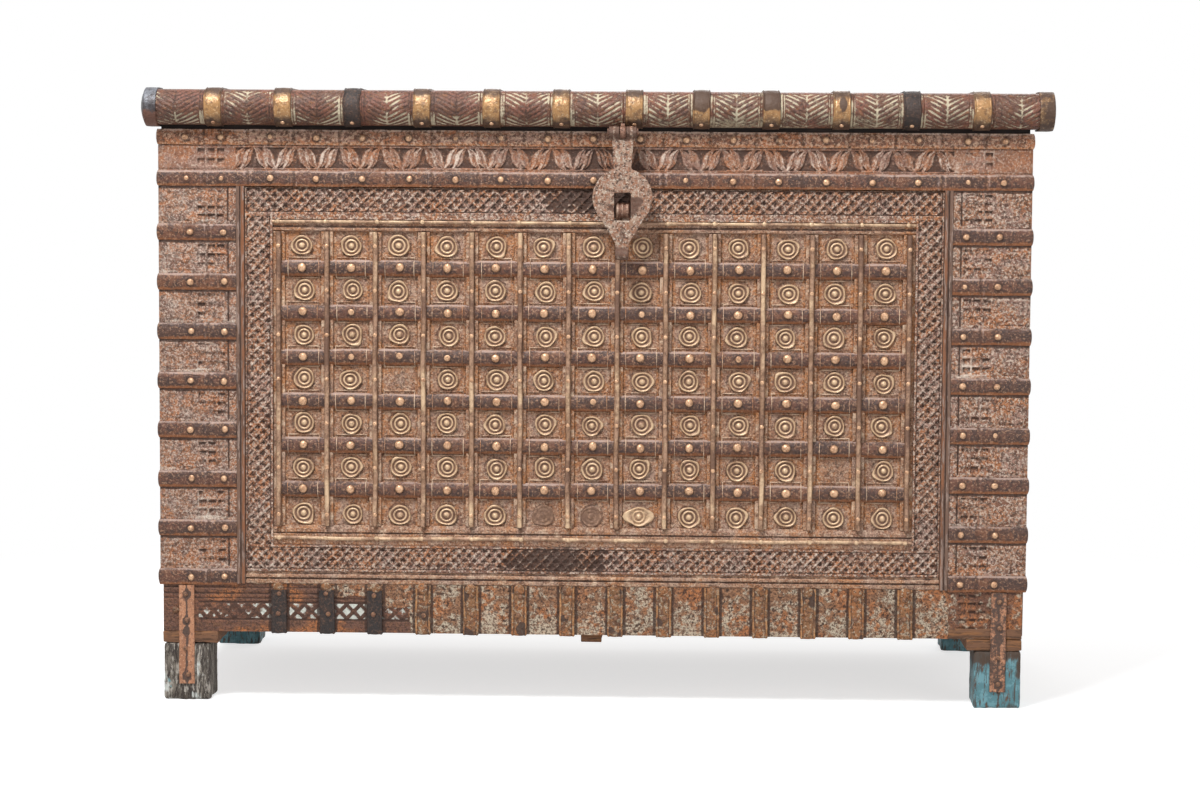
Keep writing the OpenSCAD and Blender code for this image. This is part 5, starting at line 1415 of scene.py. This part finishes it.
def hasp_and_staple():
    """The hasp's plate, brown round its slot, on its tail and at its knuckles, whose rounded middles carry
    painted highlights, the fluted staple and the eye.
    """
    def plate(spot, blow):
        ring = math.hypot(spot.x - HASP_X, spot.z - 842)
        right = ease(7, 12, spot.x - HASP_X) * ease(40, 29, ring) * ease(850, 838, spot.z)
        left = ease(-6, -20, spot.x - HASP_X) * ease(34, 24, ring) * ease(840, 825, spot.z)
        knuckles = ease(930, 940, spot.z)
        # The knuckles are dark, with lighter bands on their rounded middles as painted highlights
        knuckle_highlight = line(abs(spot.x - HASP_X) - 14, 4) * knuckles
        tail = ease(768, 756, spot.z)
        hollow = ease(8, 3, abs(spot.x - HASP_X) + 0.3 * abs(spot.z - 783))
        grime_and_shade = max(0.9 * right, 0.75 * left, knuckles - 0.6 * knuckle_highlight, 0.75 * tail, 0.6 * hollow)
        return 0.6 * (knuckles - knuckle_highlight), grime_and_shade + 0.2 * blow

    def fluted(spot, blow):
        nose = ease(-2, -20, spot.y)
        # The flutes' ridges are painted pale on the front as highlights
        flute = 0.5 + 0.5 * math.cos(2 * math.pi * (spot.x - HASP_X) / 8)
        return 1.3 * (1 - flute) * nose, 0.5 * flute * nose + 0.2 * blow

    def rubbed(spot, blow):
        return 0.0, 0.1 + 0.4 * blow

    for node, name, body, grain, depth, paint, names, finish in (
            ("hasp_plate", "forged_hasp", "hasp", 1.3, 0.45, plate, ("grime_and_shade",), hasp_iron),
            ("staple", "fluted_staple", "chest", 1.0, 0.2, fluted, ("tone",), worn_forging),
            ("hasp_eye", "forged_eye", "lid", 1.0, 0.15, rubbed, ("tone",), worn_forging)):
        place(forged(node, grain, depth, paint, names), name, body, "hasp_iron", finish, (node,), IN_PLACE)


def end_caps():
    """The beaten caps over both ends of the nose, painted bright on top as highlight, rusty below on the
    left one and darker below on the right one.
    """
    for node, name, finish in (("left_end_cap", "beaten_left_cap", cap_iron),
                               ("right_end_cap", "beaten_right_cap", band_brass)):
        def capped(spot, blow):
            low = ease(988, 968, spot.z)
            # Painted highlight on the cap's upper half
            tone = 0.75 * ease(975, 1000, spot.z) + 0.4 * blow
            return 0.0, tone, 0.1 + 0.75 * low + 0.3 * blow, 0.75 + 0.5 * blow

        bm = forged(node, 1.4, 0.3, capped, ("tone", "rust", "dark"))
        place(bm, name, "lid", "black_iron", finish, (node,), IN_PLACE)


def hinge_leaves():
    """The back hinges' leaves, with their edges rounded."""
    for node, name, body in (("hinge_back_leaves", "forged_back_leaves", "chest"),
                             ("hinge_lid_leaves", "forged_lid_leaves", "lid")):
        place(softened(node), name, body, "black_iron", black_iron, (node,), IN_PLACE)


def keep(node, finish):
    """A CAD node that stays as it is and takes a better finish."""
    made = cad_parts[node]
    made.data.materials.clear()
    made.data.materials.append(finish)


# Camera, light and paper

# Strength of the light from all round, and the paper's grey and own glow
ROOM_LIGHT, PAPER_GREY, PAPER_GLOW = 0.36, 0.6, 0.66


def seen_by_eye(tree):
    """1 for the rays that the white surroundings are for: the camera's, and those in metal and glass."""
    path = add(tree, "LightPath")
    seen = add(tree, "Math", {0: path.outputs["Is Camera Ray"], 1: path.outputs["Is Glossy Ray"]},
               operation="MAXIMUM")
    return add(tree, "Math", {0: seen.outputs[0], 1: path.outputs["Is Transmission Ray"]},
               operation="MAXIMUM").outputs[0]


def camera():
    """Solved from the chest's own straight edges: the focal length in the photo's pixels, and degrees."""
    focal, yaw, pitch, roll = 2827, 1.47, 4.43, 0.36
    spot = (0.1275, -4.9599, 0.873)
    photo_wide, sensor_wide = 1200, 36
    turn = [Matrix.Rotation(math.radians(a), 3, axis) for a, axis in ((roll, "Z"), (pitch, "X"), (yaw, "Y"))]
    look = turn[0] @ turn[1] @ turn[2] @ Matrix.Rotation(math.pi / 2, 3, "X")
    data = bpy.data.cameras.new("camera")
    data.sensor_width = sensor_wide
    data.lens = sensor_wide * focal / photo_wide
    made = new_object("camera", data)
    made.matrix_world = Matrix.Translation(spot) @ (
        look.transposed() @ Matrix.Diagonal((1, -1, -1))).to_4x4()
    bpy.context.scene.camera = made


def lamps():
    """A small key from above the left, a wide weak fill from the right and a wide one behind."""
    aim = Vector((0, 0, 0.5))
    for name, spot, size, power in (("key", (-0.9, -2.1, 3.5), 1.0, 152),
                                    ("fill", (2.8, -3.6, 1.4), 2.4, 32),
                                    ("back", (0.5, 3.4, 2.8), 2.4, 60)):
        lamp = bpy.data.lights.new(name, "AREA")
        lamp.shape, lamp.size, lamp.energy = "SQUARE", size, power
        away = Vector(spot) - aim
        new_object(name, lamp).matrix_world = (
            Matrix.Translation(spot) @ away.to_track_quat("Z", "Y").to_matrix().to_4x4())


def studio():
    """A soft light from all round, which the eye, metal and glass see as white."""
    world = bpy.data.worlds.new("studio")
    world.use_nodes = True
    bpy.context.scene.world = world
    tree = world.node_tree
    strength = add(tree, "Mix", {0: seen_by_eye(tree), 2: ROOM_LIGHT, 3: 1.0})
    tree.nodes["Background"].inputs["Color"].default_value = (1, 1, 1, 1)
    tree.links.new(strength.outputs[0], tree.nodes["Background"].inputs["Strength"])


def paper_floor():
    """White paper: it glows a little, so that it shows near white, and fades to pure white further off."""
    bm = bmesh.new()
    bmesh.ops.create_grid(bm, x_segments=1, y_segments=1, size=40)
    mesh = new_mesh("floor", bm)
    floor = new_object("floor", mesh)
    paper = bpy.data.materials.new("white_paper")
    paper.use_nodes = True
    tree = paper.node_tree
    tree.nodes.remove(tree.nodes["Principled BSDF"])
    matt = add(tree, "BsdfDiffuse", {"Color": (PAPER_GREY, PAPER_GREY, PAPER_GREY, 1)}).outputs[0]
    glow = add(tree, "Emission", {"Color": (1, 1, 1, 1), "Strength": PAPER_GLOW}).outputs[0]
    near = add(tree, "AddShader", {0: matt, 1: glow}).outputs[0]
    white = add(tree, "Emission", {"Color": (1, 1, 1, 1), "Strength": 1.0}).outputs[0]
    spot = add(tree, "TexCoord").outputs["Object"]
    away = add(tree, "VectorMath", {0: spot}, operation="LENGTH").outputs["Value"]
    fade = add(tree, "MapRange", {"Value": away, "From Min": 1.0, "From Max": 2.0},
               interpolation_type="SMOOTHSTEP").outputs[0]
    shown = add(tree, "MixShader", {0: fade, 1: near, 2: white}).outputs[0]
    plain = add(tree, "MixShader", {0: seen_by_eye(tree), 1: matt, 2: shown})
    tree.links.new(plain.outputs[0], tree.nodes["Material Output"].inputs["Surface"])
    mesh.materials.append(paper)


border()
frame_front()
panel()
mouldings()
corner_straps()
frieze_straps()
all_studs()
bosses()
strap_rng = random.Random(12)
block_straps(strap_rng)
field_beads(strap_rng)
filleted_ribs()
rib_rods()
frame_rods()
bottom_rail()
rail_straps()
rail_rosettes()
legs()
bearers()
leg_strips()
planking()
lid_nose()
bands()
hasp_and_staple()
end_caps()
hinge_leaves()
# The seating rails take a near-black finish that stands for the shadow in the gap under the lid
for node, finish in (("rib_nails", nail_brass), ("lid_cross_rails", shadow_black_wood),
                     ("lid_side_rails", shadow_black_wood), ("lid_nails", nail_brass),
                     ("hinge_pins", black_iron), ("hasp_pin", worn_forging)):
    keep(node, finish)
camera()
lamps()
studio()
paper_floor()
bpy.context.scene.view_settings.view_transform = "Standard"
